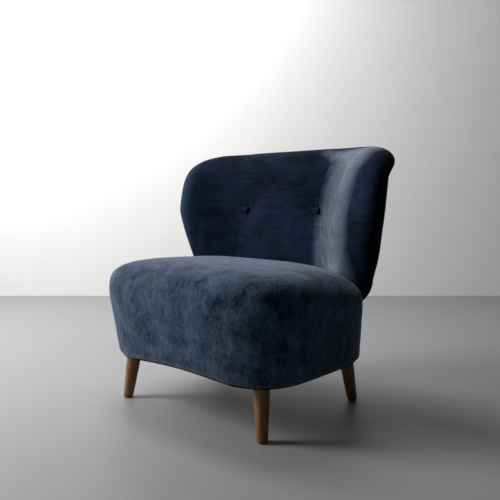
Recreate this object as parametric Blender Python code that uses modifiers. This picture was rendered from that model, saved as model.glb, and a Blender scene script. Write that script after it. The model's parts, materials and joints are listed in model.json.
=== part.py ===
"""Upholstered slipper chair with a wrapped, button-tufted back on four splayed legs.

Metres, +Z up, front facing -Y. The chair is centred on the floor at the end.
"""
import math

import bpy
import bmesh
from mathutils import Vector

# Clearances between pieces
GAP = 0.0003
SOFT_GAP = 0.0006
BORE_GAP = 0.0004

# Seat block: outline at its base and at its widest level
BASE_HALF_WIDTH = 0.343
BASE_FRONT = -0.307
BASE_BACK = 0.245
BASE_Z = 0.1435
WIDEST_HALF_WIDTH = 0.370
WIDEST_FRONT = -0.332
WIDEST_BACK = 0.225
WIDEST_Z = 0.332
CROWN_Z = 0.4445
FRONT_ARCH = 0.012
ARCH_HALF_WIDTH = 0.213
ARCH_CLEARANCE = 0.0012
ARCH_ZONE = 0.7
SEAT_FRONT_SQUARENESS = 4.0
SEAT_TOP_FRONT_SQUARENESS = 4.2
SEAT_BACK_SQUARENESS = 3.6
SEAT_TOP_BACK_SQUARENESS = 3.8
SEAT_EDGE_SQUARENESS = 3.1
SEAT_EDGE_CHANGE = 1.2
COVER_THICKNESS = 0.002
FLANGE_WIDTH = 0.030

# Seat frame
SIDE_PADDING = 0.025
FRONT_PADDING = 0.027
BACK_PADDING = 0.040
RAIL_THICKNESS = 0.025
RAIL_HEIGHT = 0.118
FRONT_BLOCK = 0.095
BACK_BLOCK = 0.087
FRONT_CHAMFER = 0.066
BACK_CHAMFER = 0.075
CORNER_BLOCK_HEIGHT = 0.060
SPRING_COUNT = 5
SPRING_SIDE_CLEARANCE = 0.029
SPRING_WIRE = 0.0038
SPRING_LOOP_WIDTH = 0.050
SPRING_LOOPS = 9
SPRING_RISE = 0.016
DECK_THICKNESS = 0.004
DECK_INSET = 0.008
DECK_EDGE_GAP = 0.0008
DUST_COVER_THICKNESS = 0.001
DUST_COVER_INSET = 0.010

# Legs and their fixings
LEG_FRONT_SIDE_INSET = 0.081
LEG_BACK_SIDE_INSET = 0.086
LEG_FRONT_INSET = 0.075
LEG_BACK_INSET = 0.068
LEG_SPLAY = 0.0160
LEG_TOP_RADIUS = 0.0225
LEG_FOOT_RADIUS = 0.0155
GLIDE_RADIUS = 0.012
GLIDE_HEIGHT = 0.004
LEG_PLATE_RADIUS = 0.020
LEG_PLATE_THICKNESS = 0.003
BOLT_RADIUS = 0.004
BOLT_IN_LEG = 0.045
BOLT_IN_BLOCK = 0.040

# Back: plan curve, outline and thickness
BACK_FLAT = 0.252
SHOULDER_RADIUS = 0.130
WING_ANGLE = math.radians(58.0)
BACK_Y = 0.210
BACK_LEAN = math.radians(10.0)
BACK_TOP_Z = 0.790
WING_WIDEST_Z = 0.588
WING_REACH = 0.457
WING_FOOT_REACH = 0.3315
WING_TAPER = 1.18
BACK_BOTTOM_Z = 0.312
TOP_SQUARENESS = 4.1
WING_FOOT_RADIUS = 0.075
BACK_THICKNESS = 0.092
EDGE_ROLL = 0.036
BACK_BORDER = 0.058
PANEL_RECESS = 0.013
TOP_ROLL_BULGE = 0.004
TOP_ROLL_LOW_Z = 0.680
TOP_ROLL_FULL_Z = 0.740
BACK_CROWN = 0.006
BEHIND_BACK = 0.060

# Back frame and what fills it
PANEL_THICKNESS = 0.004
PANEL_CLEARANCE = 0.0020
PANEL_GAP = 0.0042
FRAME_THICKNESS = 0.022
FRAME_WIDTH = 0.038
FRAME_CLEARANCE = 0.005
FRAME_JOINT_SHARE = 0.02
FLOOR_CLEARANCE = 0.002
POST_WIDTH = 0.040
WEB_THICKNESS = 0.0015
WEB_WIDTH = 0.050
WEB_END = 0.005
WEB_HEIGHTS = (0.495, 0.588, 0.660)

# Buttons
BUTTON_SHARE = 0.4315
BUTTON_RADIUS = 0.0125
BUTTON_DOME = 0.006
BUTTON_LIP = 0.0012
BUTTON_LIFT = 0.0042
SHANK_RADIUS = 0.0022
SHANK_LENGTH = 0.012
TUFT_DEPTH = 0.013
TUFT_RADIUS = 0.045
TWINE_RADIUS = 0.0012
TOGGLE_RADIUS = 0.009
TOGGLE_THICKNESS = 0.004

# Cranked brackets that hold the back to the seat
BRACKET_WIDTH = 0.030
BRACKET_CLEARANCE = 0.002
BRACKET_THICKNESS = 0.005
BRACKET_FOOT_Z = 0.170
BRACKET_BEND_Z = 0.262
BRACKET_TOP_Z = 0.455
BRACKET_BOLT_RADIUS = 0.004
BRACKET_BOLT_HEAD_RADIUS = 0.0075
BRACKET_BOLT_HEAD = 0.005
BOLT_TIP_INSET = 0.004
BOLT_HEAD_POCKET = 0.012
LOWER_BOLT_Z = 0.205
UPPER_BOLT_Z = 0.425

# Mesh resolution
QUARTER = 12
WALL_STEPS = 3
DOME_STEPS = 7
BACK_QUARTER = 10
ROLL_STEPS = 4
TURN_STEPS = 20
LAYER_SHARES = (1.0, 0.9, 0.8, 0.7, 0.6)
FACE_SHARES = (0.86, 0.72, 0.57)
BUTTON_RING_OUT = 0.07
BUTTON_RING_IN = 0.08
MIDDLE_RING = 0.7
OUTLINE_SAMPLES = 400
EDGE_SAMPLES = 24
ARCH_SAMPLES = 12
SPRING_LOOP_STEPS = 3
ROD_SIDES = 12
DISC_SIDES = 20
TWINE_SIDES = 8
TOGGLE_SIDES = 16
BUTTON_STEPS = 5
BUTTON_SIDES = 16
TOP_RAIL_STEPS = 8
PLATE_STEPS = 2

# Reach of the cutters beyond what they cut
CUTTER_REACH = 1.0
CUTTER_DEPTH = 0.2
LEG_SPARE = 0.020
ARCH_CUT_DEPTH = 0.020
ARCH_CUT_SPARE = 0.010
CHANNEL_REACH = 0.050
FACE_CLEARANCE = 0.0001

# Derived levels
FLANGE_TOP_Z = BASE_Z + COVER_THICKNESS
RAIL_Z = FLANGE_TOP_Z + GAP
RAIL_TOP_Z = RAIL_Z + RAIL_HEIGHT
SPRING_Z = RAIL_TOP_Z + SPRING_WIRE / 2 + GAP
DECK_Z = SPRING_Z + SPRING_RISE + SPRING_WIRE / 2 + GAP
POCKET_TOP_Z = DECK_Z + DECK_THICKNESS + GAP
PLATE_Z = FLANGE_TOP_Z + GAP
BLOCK_Z = PLATE_Z + LEG_PLATE_THICKNESS + GAP
LEG_TOP_Z = BASE_Z - DUST_COVER_THICKNESS - 2 * GAP
LEG_FOOT_Z = GLIDE_HEIGHT + GAP
FRAME_HALF_WIDTH = BASE_HALF_WIDTH - SIDE_PADDING
FRAME_FRONT = BASE_FRONT + FRONT_PADDING
BRACKET_X = FRAME_HALF_WIDTH - BACK_BLOCK - BRACKET_WIDTH / 2 - BRACKET_CLEARANCE
POST_OUTER = BRACKET_X + POST_WIDTH / 2
BUTTON_SPACING = BUTTON_SHARE * BASE_HALF_WIDTH
SPRING_SPAN = 2 * (FRAME_HALF_WIDTH - FRONT_BLOCK - SPRING_LOOP_WIDTH / 2 - SPRING_SIDE_CLEARANCE)
FRAME_BACK = BASE_BACK - BACK_PADDING
PANEL_REAR = -BACK_THICKNESS / 2 + PANEL_RECESS
FRAME_REAR = PANEL_REAR + PANEL_THICKNESS + PANEL_GAP
FRAME_FACE = FRAME_REAR + FRAME_THICKNESS
WEB_REAR = FRAME_FACE + GAP
POCKET_FLOOR = WEB_REAR + WEB_THICKNESS + FLOOR_CLEARANCE


def collection(name):
    """Make a collection in the scene."""
    made = bpy.data.collections.new(name)
    bpy.context.scene.collection.children.link(made)
    return made


def material(name, colour, roughness, metallic=0.0):
    """Make a plain Principled material."""
    made = bpy.data.materials.new(name)
    made.use_nodes = True
    shader = made.node_tree.nodes["Principled BSDF"]
    shader.inputs["Base Color"].default_value = (*colour, 1.0)
    shader.inputs["Roughness"].default_value = roughness
    shader.inputs["Metallic"].default_value = metallic
    return made


def place(name, mesh, look, home):
    """Wrap a mesh in an object, give it its material and put it in its collection."""
    obj = bpy.data.objects.new(name, mesh)
    if look is not None:
        mesh.materials.clear()
        mesh.materials.append(look)
    home.objects.link(obj)
    return obj


def mesh_of(builder, name):
    """Turn a bmesh into a mesh with its faces pointing out."""
    bmesh.ops.recalc_face_normals(builder, faces=builder.faces)
    mesh = bpy.data.meshes.new(name)
    builder.to_mesh(mesh)
    builder.free()
    return mesh


def loft(name, rings, look, home, smooth=True, backward=0, mirrored=False):
    """Closed body through rings of equal count; a ring of one point is a pole.

    The first backward rings run from the last of a skin to its first, and are split
    along the same diagonals as that skin, so that layers stay parallel. A mirrored
    loft splits the second half of each ring as the mirror image of the first.
    """
    builder = bmesh.new()
    rows = [[builder.verts.new(point) for point in ring] for ring in rings]
    for row, (near, far) in enumerate(zip(rows, rows[1:])):
        count = max(len(near), len(far))
        for i in range(count):
            j = (i + 1) % count
            if len(near) == 1:
                builder.faces.new((near[0], far[i], far[j]))
            elif len(far) == 1:
                builder.faces.new((near[i], near[j], far[0]))
            elif (row < backward - 1) != (mirrored and i >= count // 2):
                builder.faces.new((near[i], near[j], far[i]))
                builder.faces.new((near[j], far[j], far[i]))
            else:
                builder.faces.new((near[i], near[j], far[j]))
                builder.faces.new((near[i], far[j], far[i]))
    for ring in (rows[0], rows[-1]):
        if len(ring) > 1:
            builder.faces.new(ring)
    mesh = mesh_of(builder, name)
    if smooth:
        mesh.shade_smooth()
        mesh.set_sharp_from_angle(angle=math.radians(35))
    return place(name, mesh, look, home)


def prism(name, outline, low, high, look, home):
    """Upright prism over a plan outline."""
    rings = [[(x, y, z) for x, y in outline] for z in (low, high)]
    return loft(name, rings, look, home, smooth=False)


def box(name, low, high, look, home):
    """Box between two corners, from the cube primitive."""
    builder = bmesh.new()
    bmesh.ops.create_cube(builder, size=1.0)
    size = Vector(high) - Vector(low)
    middle = (Vector(high) + Vector(low)) / 2
    bmesh.ops.scale(builder, vec=size, verts=builder.verts)
    mesh = bpy.data.meshes.new(name)
    builder.to_mesh(mesh)
    builder.free()
    obj = place(name, mesh, look, home)
    obj.location = middle
    return obj


def rod(name, start, end, radius, look, home, sides=ROD_SIDES):
    """Round bar between two points, from the cone primitive."""
    axis = Vector(end) - Vector(start)
    builder = bmesh.new()
    bmesh.ops.create_cone(builder, cap_ends=True, segments=sides, radius1=radius,
                          radius2=radius, depth=axis.length)
    mesh = bpy.data.meshes.new(name)
    builder.to_mesh(mesh)
    builder.free()
    obj = place(name, mesh, look, home)
    obj.location = (Vector(start) + Vector(end)) / 2
    obj.rotation_mode = "QUATERNION"
    obj.rotation_quaternion = axis.to_track_quat("Z", "X")
    return obj


def turned(name, profile, look, home, steps=TURN_STEPS):
    """Turned body: a profile of (radius, height) spun with a Screw modifier."""
    builder = bmesh.new()
    verts = [builder.verts.new((radius, 0.0, height)) for radius, height in profile]
    for a, b in zip(verts, verts[1:]):
        builder.edges.new((a, b))
    mesh = bpy.data.meshes.new(name)
    builder.to_mesh(mesh)
    builder.free()
    obj = place(name, mesh, look, home)
    spin = obj.modifiers.new("Spin", "SCREW")
    spin.steps = steps
    spin.render_steps = steps
    spin.use_merge_vertices = True
    spin.merge_threshold = 0.00001
    spin.use_smooth_shade = True
    return obj


def cut(obj, cutter):
    """Take a cutter's shape away from an object."""
    knife = obj.modifiers.new("Cut", "BOOLEAN")
    knife.operation = "DIFFERENCE"
    knife.solver = "EXACT"
    knife.object = cutter
    cutter.hide_render = True
    cutter.display_type = "WIRE"


def quarter_points(width, depth, squareness, count):
    """Points of a superellipse quarter, evenly spaced, from the depth axis to the width axis."""
    dense = []
    for k in range(OUTLINE_SAMPLES + 1):
        angle = math.pi / 2 * k / OUTLINE_SAMPLES
        dense.append(Vector((width * math.sin(angle) ** (2 / squareness),
                             depth * math.cos(angle) ** (2 / squareness))))
    return evenly(dense, count)


def evenly(points, count):
    """Resample a polyline into equal steps, both ends kept."""
    lengths = [0.0]
    for a, b in zip(points, points[1:]):
        lengths.append(lengths[-1] + (b - a).length)
    result = []
    k = 0
    for i in range(count + 1):
        target = lengths[-1] * i / count
        while k < len(points) - 2 and lengths[k + 1] < target:
            k += 1
        span = lengths[k + 1] - lengths[k]
        share = 0.0 if span == 0.0 else (target - lengths[k]) / span
        result.append(points[k].lerp(points[k + 1], min(1.0, share)))
    return result


def seat_outline(half_width, front, back, level=0.0):
    """Plan outline of the seat, from front centre round by +X."""
    fore_squareness = SEAT_FRONT_SQUARENESS + (SEAT_TOP_FRONT_SQUARENESS - SEAT_FRONT_SQUARENESS) * level
    aft_squareness = SEAT_BACK_SQUARENESS + (SEAT_TOP_BACK_SQUARENESS - SEAT_BACK_SQUARENESS) * level
    middle = (front + back) / 2
    depth = (back - front) / 2
    fore = quarter_points(half_width, depth, fore_squareness, QUARTER)
    aft = quarter_points(half_width, depth, aft_squareness, QUARTER)
    half = [(p.x, middle - p.y) for p in fore]
    half += [(p.x, middle + p.y) for p in reversed(aft[:-1])]
    return half + [(-x, y) for x, y in reversed(half[1:-1])]


def front_arch(x, y):
    """Rise of the lower edge under the front of the seat."""
    across = max(0.0, 1.0 - (x / ARCH_HALF_WIDTH) ** 2)
    return FRONT_ARCH * across if y < BASE_FRONT * ARCH_ZONE else 0.0


def seat_wall_ring(level, inset, lift=0.0):
    """Outline of the seat's wall at a level from 0 (base) to 1 (widest)."""
    width = BASE_HALF_WIDTH + (WIDEST_HALF_WIDTH - BASE_HALF_WIDTH) * level - inset
    front = BASE_FRONT + (WIDEST_FRONT - BASE_FRONT) * level + inset
    back = BASE_BACK + (WIDEST_BACK - BASE_BACK) * level - inset
    height = BASE_Z + (WIDEST_Z - BASE_Z) * level + lift
    return [(x, y, height + front_arch(x, y) * (1.0 - level))
            for x, y in seat_outline(width, front, back, level)]


def seat_skin(inset):
    """Rings of the seat's outer form, base to crown, drawn in by an inset."""
    lift = inset
    rings = [seat_wall_ring(0.0, inset, lift)]
    rings += [seat_wall_ring(k / WALL_STEPS, inset) for k in range(1, WALL_STEPS + 1)]
    widest = rings[-1]
    middle = (WIDEST_FRONT + WIDEST_BACK) / 2
    depth = (WIDEST_BACK - WIDEST_FRONT) / 2
    rise = CROWN_Z - inset - WIDEST_Z
    for k in range(1, DOME_STEPS):
        angle = math.pi / 2 * k / DOME_STEPS
        ring = []
        for x, y, _ in widest:
            squareness = SEAT_EDGE_SQUARENESS - SEAT_EDGE_CHANGE * (y - middle) / depth
            shrink = math.cos(angle) ** (2 / squareness)
            height = WIDEST_Z + rise * math.sin(angle) ** (2 / squareness)
            ring.append((x * shrink, middle + (y - middle) * shrink, height))
        rings.append(ring)
    rings.append([(0.0, middle, WIDEST_Z + rise)])
    return rings


def frame_outline(grow=0.0, front_chamfer=FRONT_CHAMFER, back_chamfer=BACK_CHAMFER):
    """Eight-sided plan outline of the seat frame."""
    w = FRAME_HALF_WIDTH + grow
    f = FRAME_FRONT - grow
    b = FRAME_BACK + grow
    half = [(w - front_chamfer, f), (w, f + front_chamfer), (w, b - back_chamfer), (w - back_chamfer, b)]
    return half + [(-x, y) for x, y in reversed(half)]


def plan_curve(s):
    """Plan of the back: flat middle, round shoulders, straight wings."""
    side = 1.0 if s >= 0 else -1.0
    run = abs(s)
    turn = SHOULDER_RADIUS * WING_ANGLE
    heading = min(max(0.0, run - BACK_FLAT), turn) / SHOULDER_RADIUS
    straight = max(0.0, run - BACK_FLAT - turn)
    x = min(run, BACK_FLAT) + SHOULDER_RADIUS * math.sin(heading) + straight * math.cos(heading)
    y = -SHOULDER_RADIUS * (1 - math.cos(heading)) - straight * math.sin(heading)
    return side * x, y, side * heading


def back_point(s, z, offset):
    """Place on the back: along its plan, height, and distance to the front of its middle."""
    x, y, heading = plan_curve(s)
    y += BACK_Y + math.tan(BACK_LEAN) * (z - WING_WIDEST_Z)
    return Vector((x - offset * math.sin(heading), y - offset * math.cos(heading), z))


def wing_edge(z):
    """Reach of the wing at a height below its widest level."""
    drop = (WING_WIDEST_Z - z) / (WING_WIDEST_Z - BACK_BOTTOM_Z)
    return WING_REACH - (WING_REACH - WING_FOOT_REACH) * drop ** WING_TAPER


def back_outline():
    """Outline of the back in (along, height), from top centre round by +X."""
    rise = BACK_TOP_Z - WING_WIDEST_Z
    upper = [Vector((p.x, WING_WIDEST_Z + p.y))
             for p in quarter_points(WING_REACH, rise, TOP_SQUARENESS, BACK_QUARTER)]
    corner_z = BACK_BOTTOM_Z + WING_FOOT_RADIUS
    lower = []
    for k in range(EDGE_SAMPLES + 1):
        z = WING_WIDEST_Z + (corner_z - WING_WIDEST_Z) * k / EDGE_SAMPLES
        lower.append(Vector((wing_edge(z), z)))
    centre = Vector((wing_edge(corner_z) - WING_FOOT_RADIUS, corner_z))
    for k in range(1, EDGE_SAMPLES + 1):
        angle = math.pi / 2 * k / EDGE_SAMPLES
        lower.append(centre + WING_FOOT_RADIUS * Vector((math.cos(angle), -math.sin(angle))))
    lower.append(Vector((0.0, BACK_BOTTOM_Z)))
    half = upper + evenly(lower, BACK_QUARTER)[1:]
    return half + [Vector((-p.x, p.y)) for p in reversed(half[1:-1])]


def inset_outline(points, distance):
    """Draw a closed outline in along its own normals."""
    count = len(points)
    result = []
    for i in range(count):
        along = (points[(i + 1) % count] - points[i - 1]).normalized()
        result.append(points[i] + distance * Vector((along.y, -along.x)))
    return result


def back_face(s, z, half, inset):
    """Front face of the back: a slight crown, drawn in round each button."""
    reach = Vector((s / WING_REACH, (z - WING_WIDEST_Z) / (BACK_TOP_Z - WING_WIDEST_Z)))
    crown = BACK_CROWN * max(0.0, 1.0 - reach.length_squared)
    tuft = 0.0
    for x in (-BUTTON_SPACING, BUTTON_SPACING):
        away = Vector((s - x, z - WING_WIDEST_Z)).length
        tuft += TUFT_DEPTH * math.exp(-(away / TUFT_RADIUS) ** 2)
    return half + crown - tuft - inset


def rear_depth(z):
    """Depth of the rear border: full at the top roll, flush with the outside panel below it."""
    share = min(1.0, max(0.0, (z - TOP_ROLL_LOW_Z) / (TOP_ROLL_FULL_Z - TOP_ROLL_LOW_Z)))
    ease = share * share * (3.0 - 2.0 * share)
    return BACK_THICKNESS / 2 - PANEL_RECESS + (PANEL_RECESS + TOP_ROLL_BULGE) * ease


def roll_rings(inset, sides):
    """Rings round the rolled edge of the back; sides is -1 rear, 1 front."""
    outline = inset_outline(back_outline(), inset)
    rings = []
    for k in range(1, ROLL_STEPS):
        angle = math.pi / 2 * k / (ROLL_STEPS - 1)
        points = inset_outline(outline, EDGE_ROLL * (1 - math.cos(angle)))
        ring = []
        for p in points:
            depth = rear_depth(p.y) if sides < 0 else BACK_THICKNESS / 2
            ring.append(back_point(p.x, p.y, sides * (depth - inset) * math.sin(angle)))
        rings.append(ring)
    return rings


def back_front_rings(inset):
    """Rings of the back's front, from the rolled edge to the middle."""
    half = BACK_THICKNESS / 2
    outline = inset_outline(inset_outline(back_outline(), inset), EDGE_ROLL)
    centre = Vector((0.0, WING_WIDEST_Z))
    level_reach = WING_REACH - EDGE_ROLL - inset
    button = BUTTON_SPACING / level_reach
    rings = []
    for share in FACE_SHARES + (button + BUTTON_RING_OUT, button, button - BUTTON_RING_IN):
        ring = []
        for i, p in enumerate(outline):
            q = centre.lerp(p, share)
            if i % (2 * BACK_QUARTER) == BACK_QUARTER:
                q = Vector((math.copysign(share * level_reach, p.x), WING_WIDEST_Z))
            ring.append(back_point(q.x, q.y, back_face(q.x, q.y, half, inset)))
        rings.append(ring)
    rings.append([back_point(0.0, WING_WIDEST_Z, back_face(0.0, WING_WIDEST_Z, half, inset))])
    return rings


def back_skin(inset):
    """Rings of the upholstered back from its rear rim round the edge to the middle of its front."""
    outline = inset_outline(back_outline(), inset)
    rim = inset_outline(back_outline(), BACK_BORDER)
    edge = [back_point(p.x, p.y, 0.0) for p in outline]
    rings = [[back_point(p.x, p.y, inset - rear_depth(p.y)) for p in rim]]
    rings += list(reversed(roll_rings(inset, -1)))
    rings.append(edge)
    rings += roll_rings(inset, 1)
    rings += back_front_rings(inset)
    return rings


def height_at(points, along):
    """Height of an outline's upper side at a distance along the back."""
    for a, b in zip(points, points[1:]):
        if a.x <= along <= b.x:
            return a.lerp(b, (along - a.x) / (b.x - a.x)).y
    return points[0].y


def floor_rings(outline, offset, shares):
    """Rings over a flat layer of the back, from an outline to its middle."""
    centre = Vector((0.0, WING_WIDEST_Z))
    rings = []
    for share in shares:
        rings.append([back_point(*centre.lerp(p, share), offset) for p in outline])
    rings.append([back_point(*centre, offset)])
    return rings


def bent_plate(name, corners, rear, front, look, home, steps=PLATE_STEPS):
    """Plate in the back: a four-sided outline in (along, height) between two offsets."""
    a, b, c, d = (Vector(corner) for corner in corners)
    rings = []
    for k in range(steps + 1):
        low = a.lerp(b, k / steps)
        high = d.lerp(c, k / steps)
        rings.append([back_point(low.x, low.y, rear), back_point(low.x, low.y, front),
                      back_point(high.x, high.y, front), back_point(high.x, high.y, rear)])
    return loft(name, rings, look, home, smooth=False)


def rim_bar(name, points, look, home, backward=0):
    """Frame bar that follows the back's edge: outer and inner points of each step."""
    rings = []
    for outer, inner in points:
        rings.append([back_point(inner.x, inner.y, FRAME_REAR), back_point(inner.x, inner.y, FRAME_FACE),
                      back_point(outer.x, outer.y, FRAME_FACE), back_point(outer.x, outer.y, FRAME_REAR)])
    return loft(name, rings, look, home, smooth=False, backward=backward)


def leg_places():
    """Name, top centre and splay direction of each leg."""
    places = []
    for end, inset, y, away in (("front", LEG_FRONT_SIDE_INSET, BASE_FRONT + LEG_FRONT_INSET, -1),
                                ("back", LEG_BACK_SIDE_INSET, BASE_BACK - LEG_BACK_INSET, 1)):
        for side, sign in (("left", -1), ("right", 1)):
            x = sign * (BASE_HALF_WIDTH - inset)
            places.append((f"{end}_{side}", Vector((x, y, LEG_TOP_Z)), Vector((sign, away, 0.0))))
    return places


def build_legs(looks, home, tools):
    """Turned legs with their bolts, plates and glides."""
    height = LEG_TOP_Z - LEG_FOOT_Z
    far = CUTTER_REACH
    above = box("cut_above_legs", (-far, -far, LEG_TOP_Z), (far, far, LEG_TOP_Z + CUTTER_DEPTH), None, tools)
    below = box("cut_below_legs", (-far, -far, LEG_FOOT_Z - CUTTER_DEPTH), (far, far, LEG_FOOT_Z), None, tools)
    bolts = []
    recesses = []
    for label, top, away in leg_places():
        foot = top + away * LEG_SPLAY - Vector((0, 0, height))
        axis = (top - foot).normalized()
        length = (top - foot).length
        slope = (LEG_TOP_RADIUS - LEG_FOOT_RADIUS) / length
        high = LEG_TOP_RADIUS + slope * LEG_SPARE
        low = LEG_FOOT_RADIUS - slope * LEG_SPARE
        profile = [(0.0, length + LEG_SPARE), (high, length + LEG_SPARE), (LEG_FOOT_RADIUS, 0.0),
                   (low, -LEG_SPARE), (0.0, -LEG_SPARE)]
        leg = turned(f"leg_{label}", profile, looks["walnut"], home)
        leg.location = foot
        leg.rotation_mode = "QUATERNION"
        leg.rotation_quaternion = axis.to_track_quat("Z", "X")
        cut(leg, above)
        cut(leg, below)
        start = top - axis * BOLT_IN_LEG
        end = top + axis * BOLT_IN_BLOCK
        rod(f"hanger_bolt_{label}", start, end, BOLT_RADIUS, looks["steel"], home)
        bore = rod(f"cut_bolt_{label}", start - axis * GAP, end + axis * GAP,
                   BOLT_RADIUS + BORE_GAP, None, tools)
        cut(leg, bore)
        bolts.append(bore)
        at_plate = top + axis * ((PLATE_Z - LEG_TOP_Z) / axis.z)
        plate = rod(f"leg_plate_{label}", at_plate, at_plate + Vector((0, 0, LEG_PLATE_THICKNESS)),
                    LEG_PLATE_RADIUS, looks["steel"], home, sides=DISC_SIDES)
        cut(plate, bore)
        recesses.append(rod(f"cut_plate_{label}", at_plate - Vector((0, 0, SOFT_GAP)),
                            at_plate + Vector((0, 0, LEG_PLATE_THICKNESS + SOFT_GAP)),
                            LEG_PLATE_RADIUS + SOFT_GAP, None, tools, sides=DISC_SIDES))
        glide_base = Vector((foot.x, foot.y, 0.0))
        rod(f"leg_glide_{label}", glide_base, glide_base + Vector((0, 0, GLIDE_HEIGHT)),
            GLIDE_RADIUS, looks["nylon"], home, sides=DISC_SIDES)
    return bolts, recesses


def build_seat_frame(looks, home, tools, bolts):
    """Rails and corner blocks of the seat."""
    w, f, b = FRAME_HALF_WIDTH, FRAME_FRONT, FRAME_BACK
    inner = w - FRONT_BLOCK
    inner_back = w - BACK_BLOCK
    near = f + FRONT_BLOCK
    far = b - BACK_BLOCK
    arch = box("rail_front", (-inner + GAP, f, RAIL_Z), (inner - GAP, f + RAIL_THICKNESS, RAIL_TOP_Z),
               looks["beech"], home)
    lower = []
    for k in range(ARCH_SAMPLES + 1):
        x = -inner + 2 * inner * k / ARCH_SAMPLES
        lower.append((x, RAIL_Z + front_arch(x, BASE_FRONT) + ARCH_CLEARANCE))
    arch_bottom = RAIL_Z - ARCH_CUT_DEPTH
    rings = [[(x, y, z) for x, z in [(-inner, arch_bottom)] + lower + [(inner, arch_bottom)]]
             for y in (f - ARCH_CUT_SPARE, f + RAIL_THICKNESS + ARCH_CUT_SPARE)]
    cut(arch, loft("cut_front_arch", rings, None, tools, smooth=False))
    back = box("rail_back", (-inner_back + GAP, b - RAIL_THICKNESS, RAIL_Z),
               (inner_back - GAP, b, RAIL_TOP_Z), looks["beech"], home)
    for side, sign in (("left", -1), ("right", 1)):
        x0, x1 = sorted((sign * w, sign * (w - RAIL_THICKNESS)))
        box(f"rail_{side}", (x0, near + GAP, RAIL_Z), (x1, far - GAP, RAIL_TOP_Z), looks["beech"], home)
    corners = {
        "front": [(inner, f), (w - FRONT_CHAMFER, f), (w, f + FRONT_CHAMFER), (w, near), (inner, near)],
        "back": [(inner_back, far), (w, far), (w, b - BACK_CHAMFER), (w - BACK_CHAMFER, b), (inner_back, b)],
    }
    for (label, _, away), bore in zip(leg_places(), bolts):
        end = label.split("_")[0]
        outline = [(x * away.x, y) for x, y in corners[end]]
        block = prism(f"corner_block_{label}", outline, BLOCK_Z, BLOCK_Z + CORNER_BLOCK_HEIGHT,
                      looks["beech"], home)
        cut(block, bore)
    return back


def build_springs(looks, home):
    """Sinuous springs from the front rail to the back rail."""
    front = FRAME_FRONT + RAIL_THICKNESS / 2
    back = FRAME_BACK - RAIL_THICKNESS / 2
    steps = SPRING_LOOPS * SPRING_LOOP_STEPS
    for n in range(SPRING_COUNT):
        x0 = SPRING_SPAN * (n / (SPRING_COUNT - 1) - 0.5)
        curve = bpy.data.curves.new(f"seat_spring_{n + 1}", "CURVE")
        curve.dimensions = "3D"
        curve.bevel_depth = SPRING_WIRE / 2
        curve.bevel_resolution = 1
        curve.use_fill_caps = True
        spline = curve.splines.new("POLY")
        spline.points.add(steps)
        for k in range(steps + 1):
            share = k / steps
            swing = math.sin(math.pi * SPRING_LOOPS * share)
            x = x0 + SPRING_LOOP_WIDTH / 2 * swing
            y = front + (back - front) * share
            z = SPRING_Z + SPRING_RISE * math.sin(math.pi * share)
            spline.points[k].co = (x, y, z, 1.0)
        curve.materials.append(looks["steel"])
        home.objects.link(bpy.data.objects.new(f"seat_spring_{n + 1}", curve))


def seat_pockets(tools):
    """Spaces inside the seat foam: round the blocks, round the rails, and over them."""
    layers = (
        ("blocks", frame_outline(SOFT_GAP), BLOCK_Z + CORNER_BLOCK_HEIGHT + GAP),
        ("rails", frame_outline(GAP, FRONT_BLOCK, BACK_BLOCK), RAIL_TOP_Z + GAP),
        ("deck", frame_outline(DECK_EDGE_GAP - DECK_INSET, FRONT_BLOCK, BACK_BLOCK), POCKET_TOP_Z),
    )
    return [prism(f"cut_pocket_{label}", outline, 0.0, top, None, tools) for label, outline, top in layers]


def build_seat_soft(looks, home, tools, bolts, recesses, envelope, slots):
    """Deck, foam, cover and dust cover of the seat."""
    deck_outline = frame_outline(-DECK_INSET, FRONT_BLOCK, BACK_BLOCK)
    deck = prism("seat_deck", deck_outline, DECK_Z, DECK_Z + DECK_THICKNESS, looks["felt"], home)
    middle = (BASE_FRONT + BASE_BACK) / 2
    foam_skin = seat_skin(COVER_THICKNESS + SOFT_GAP)
    foam_z = BASE_Z + COVER_THICKNESS + SOFT_GAP
    under = seat_wall_ring(0.0, FLANGE_WIDTH + SOFT_GAP, COVER_THICKNESS + SOFT_GAP)
    base = [(x * MIDDLE_RING, middle + (y - middle) * MIDDLE_RING, foam_z) for x, y, _ in under]
    foam = loft("seat_foam", [[(0.0, middle, foam_z)], base, under] + foam_skin, looks["foam"], home,
                mirrored=True)
    for hollow in seat_pockets(tools) + recesses:
        cut(foam, hollow)
    outer = seat_skin(0.0)
    tip = seat_wall_ring(0.0, FLANGE_WIDTH)
    tip_top = seat_wall_ring(0.0, FLANGE_WIDTH, COVER_THICKNESS)
    inner = seat_skin(COVER_THICKNESS)
    cover = loft("seat_cover", list(reversed(outer)) + [tip, tip_top] + inner, looks["velvet"], home,
                 backward=len(outer), mirrored=True)
    for bore in bolts:
        cut(cover, bore)
    for piece in (deck, foam, cover):
        for slot in slots:
            cut(piece, slot)
    for piece in (foam, cover):
        cut(piece, envelope)
    upper_z = BASE_Z - GAP
    lower_z = upper_z - DUST_COVER_THICKNESS
    top = seat_wall_ring(0.0, DUST_COVER_INSET, upper_z - BASE_Z)
    low = seat_wall_ring(0.0, DUST_COVER_INSET, lower_z - BASE_Z)
    shrunk = [(x * MIDDLE_RING, middle + (y - middle) * MIDDLE_RING) for x, y, _ in top]
    rings = [[(0.0, middle, upper_z)], [(x, y, upper_z) for x, y in shrunk], top, low,
             [(x, y, lower_z) for x, y in shrunk], [(0.0, middle, lower_z)]]
    dust = loft("dust_cover", rings, looks["cambric"], home, smooth=False)
    for bore in bolts:
        cut(dust, bore)


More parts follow.
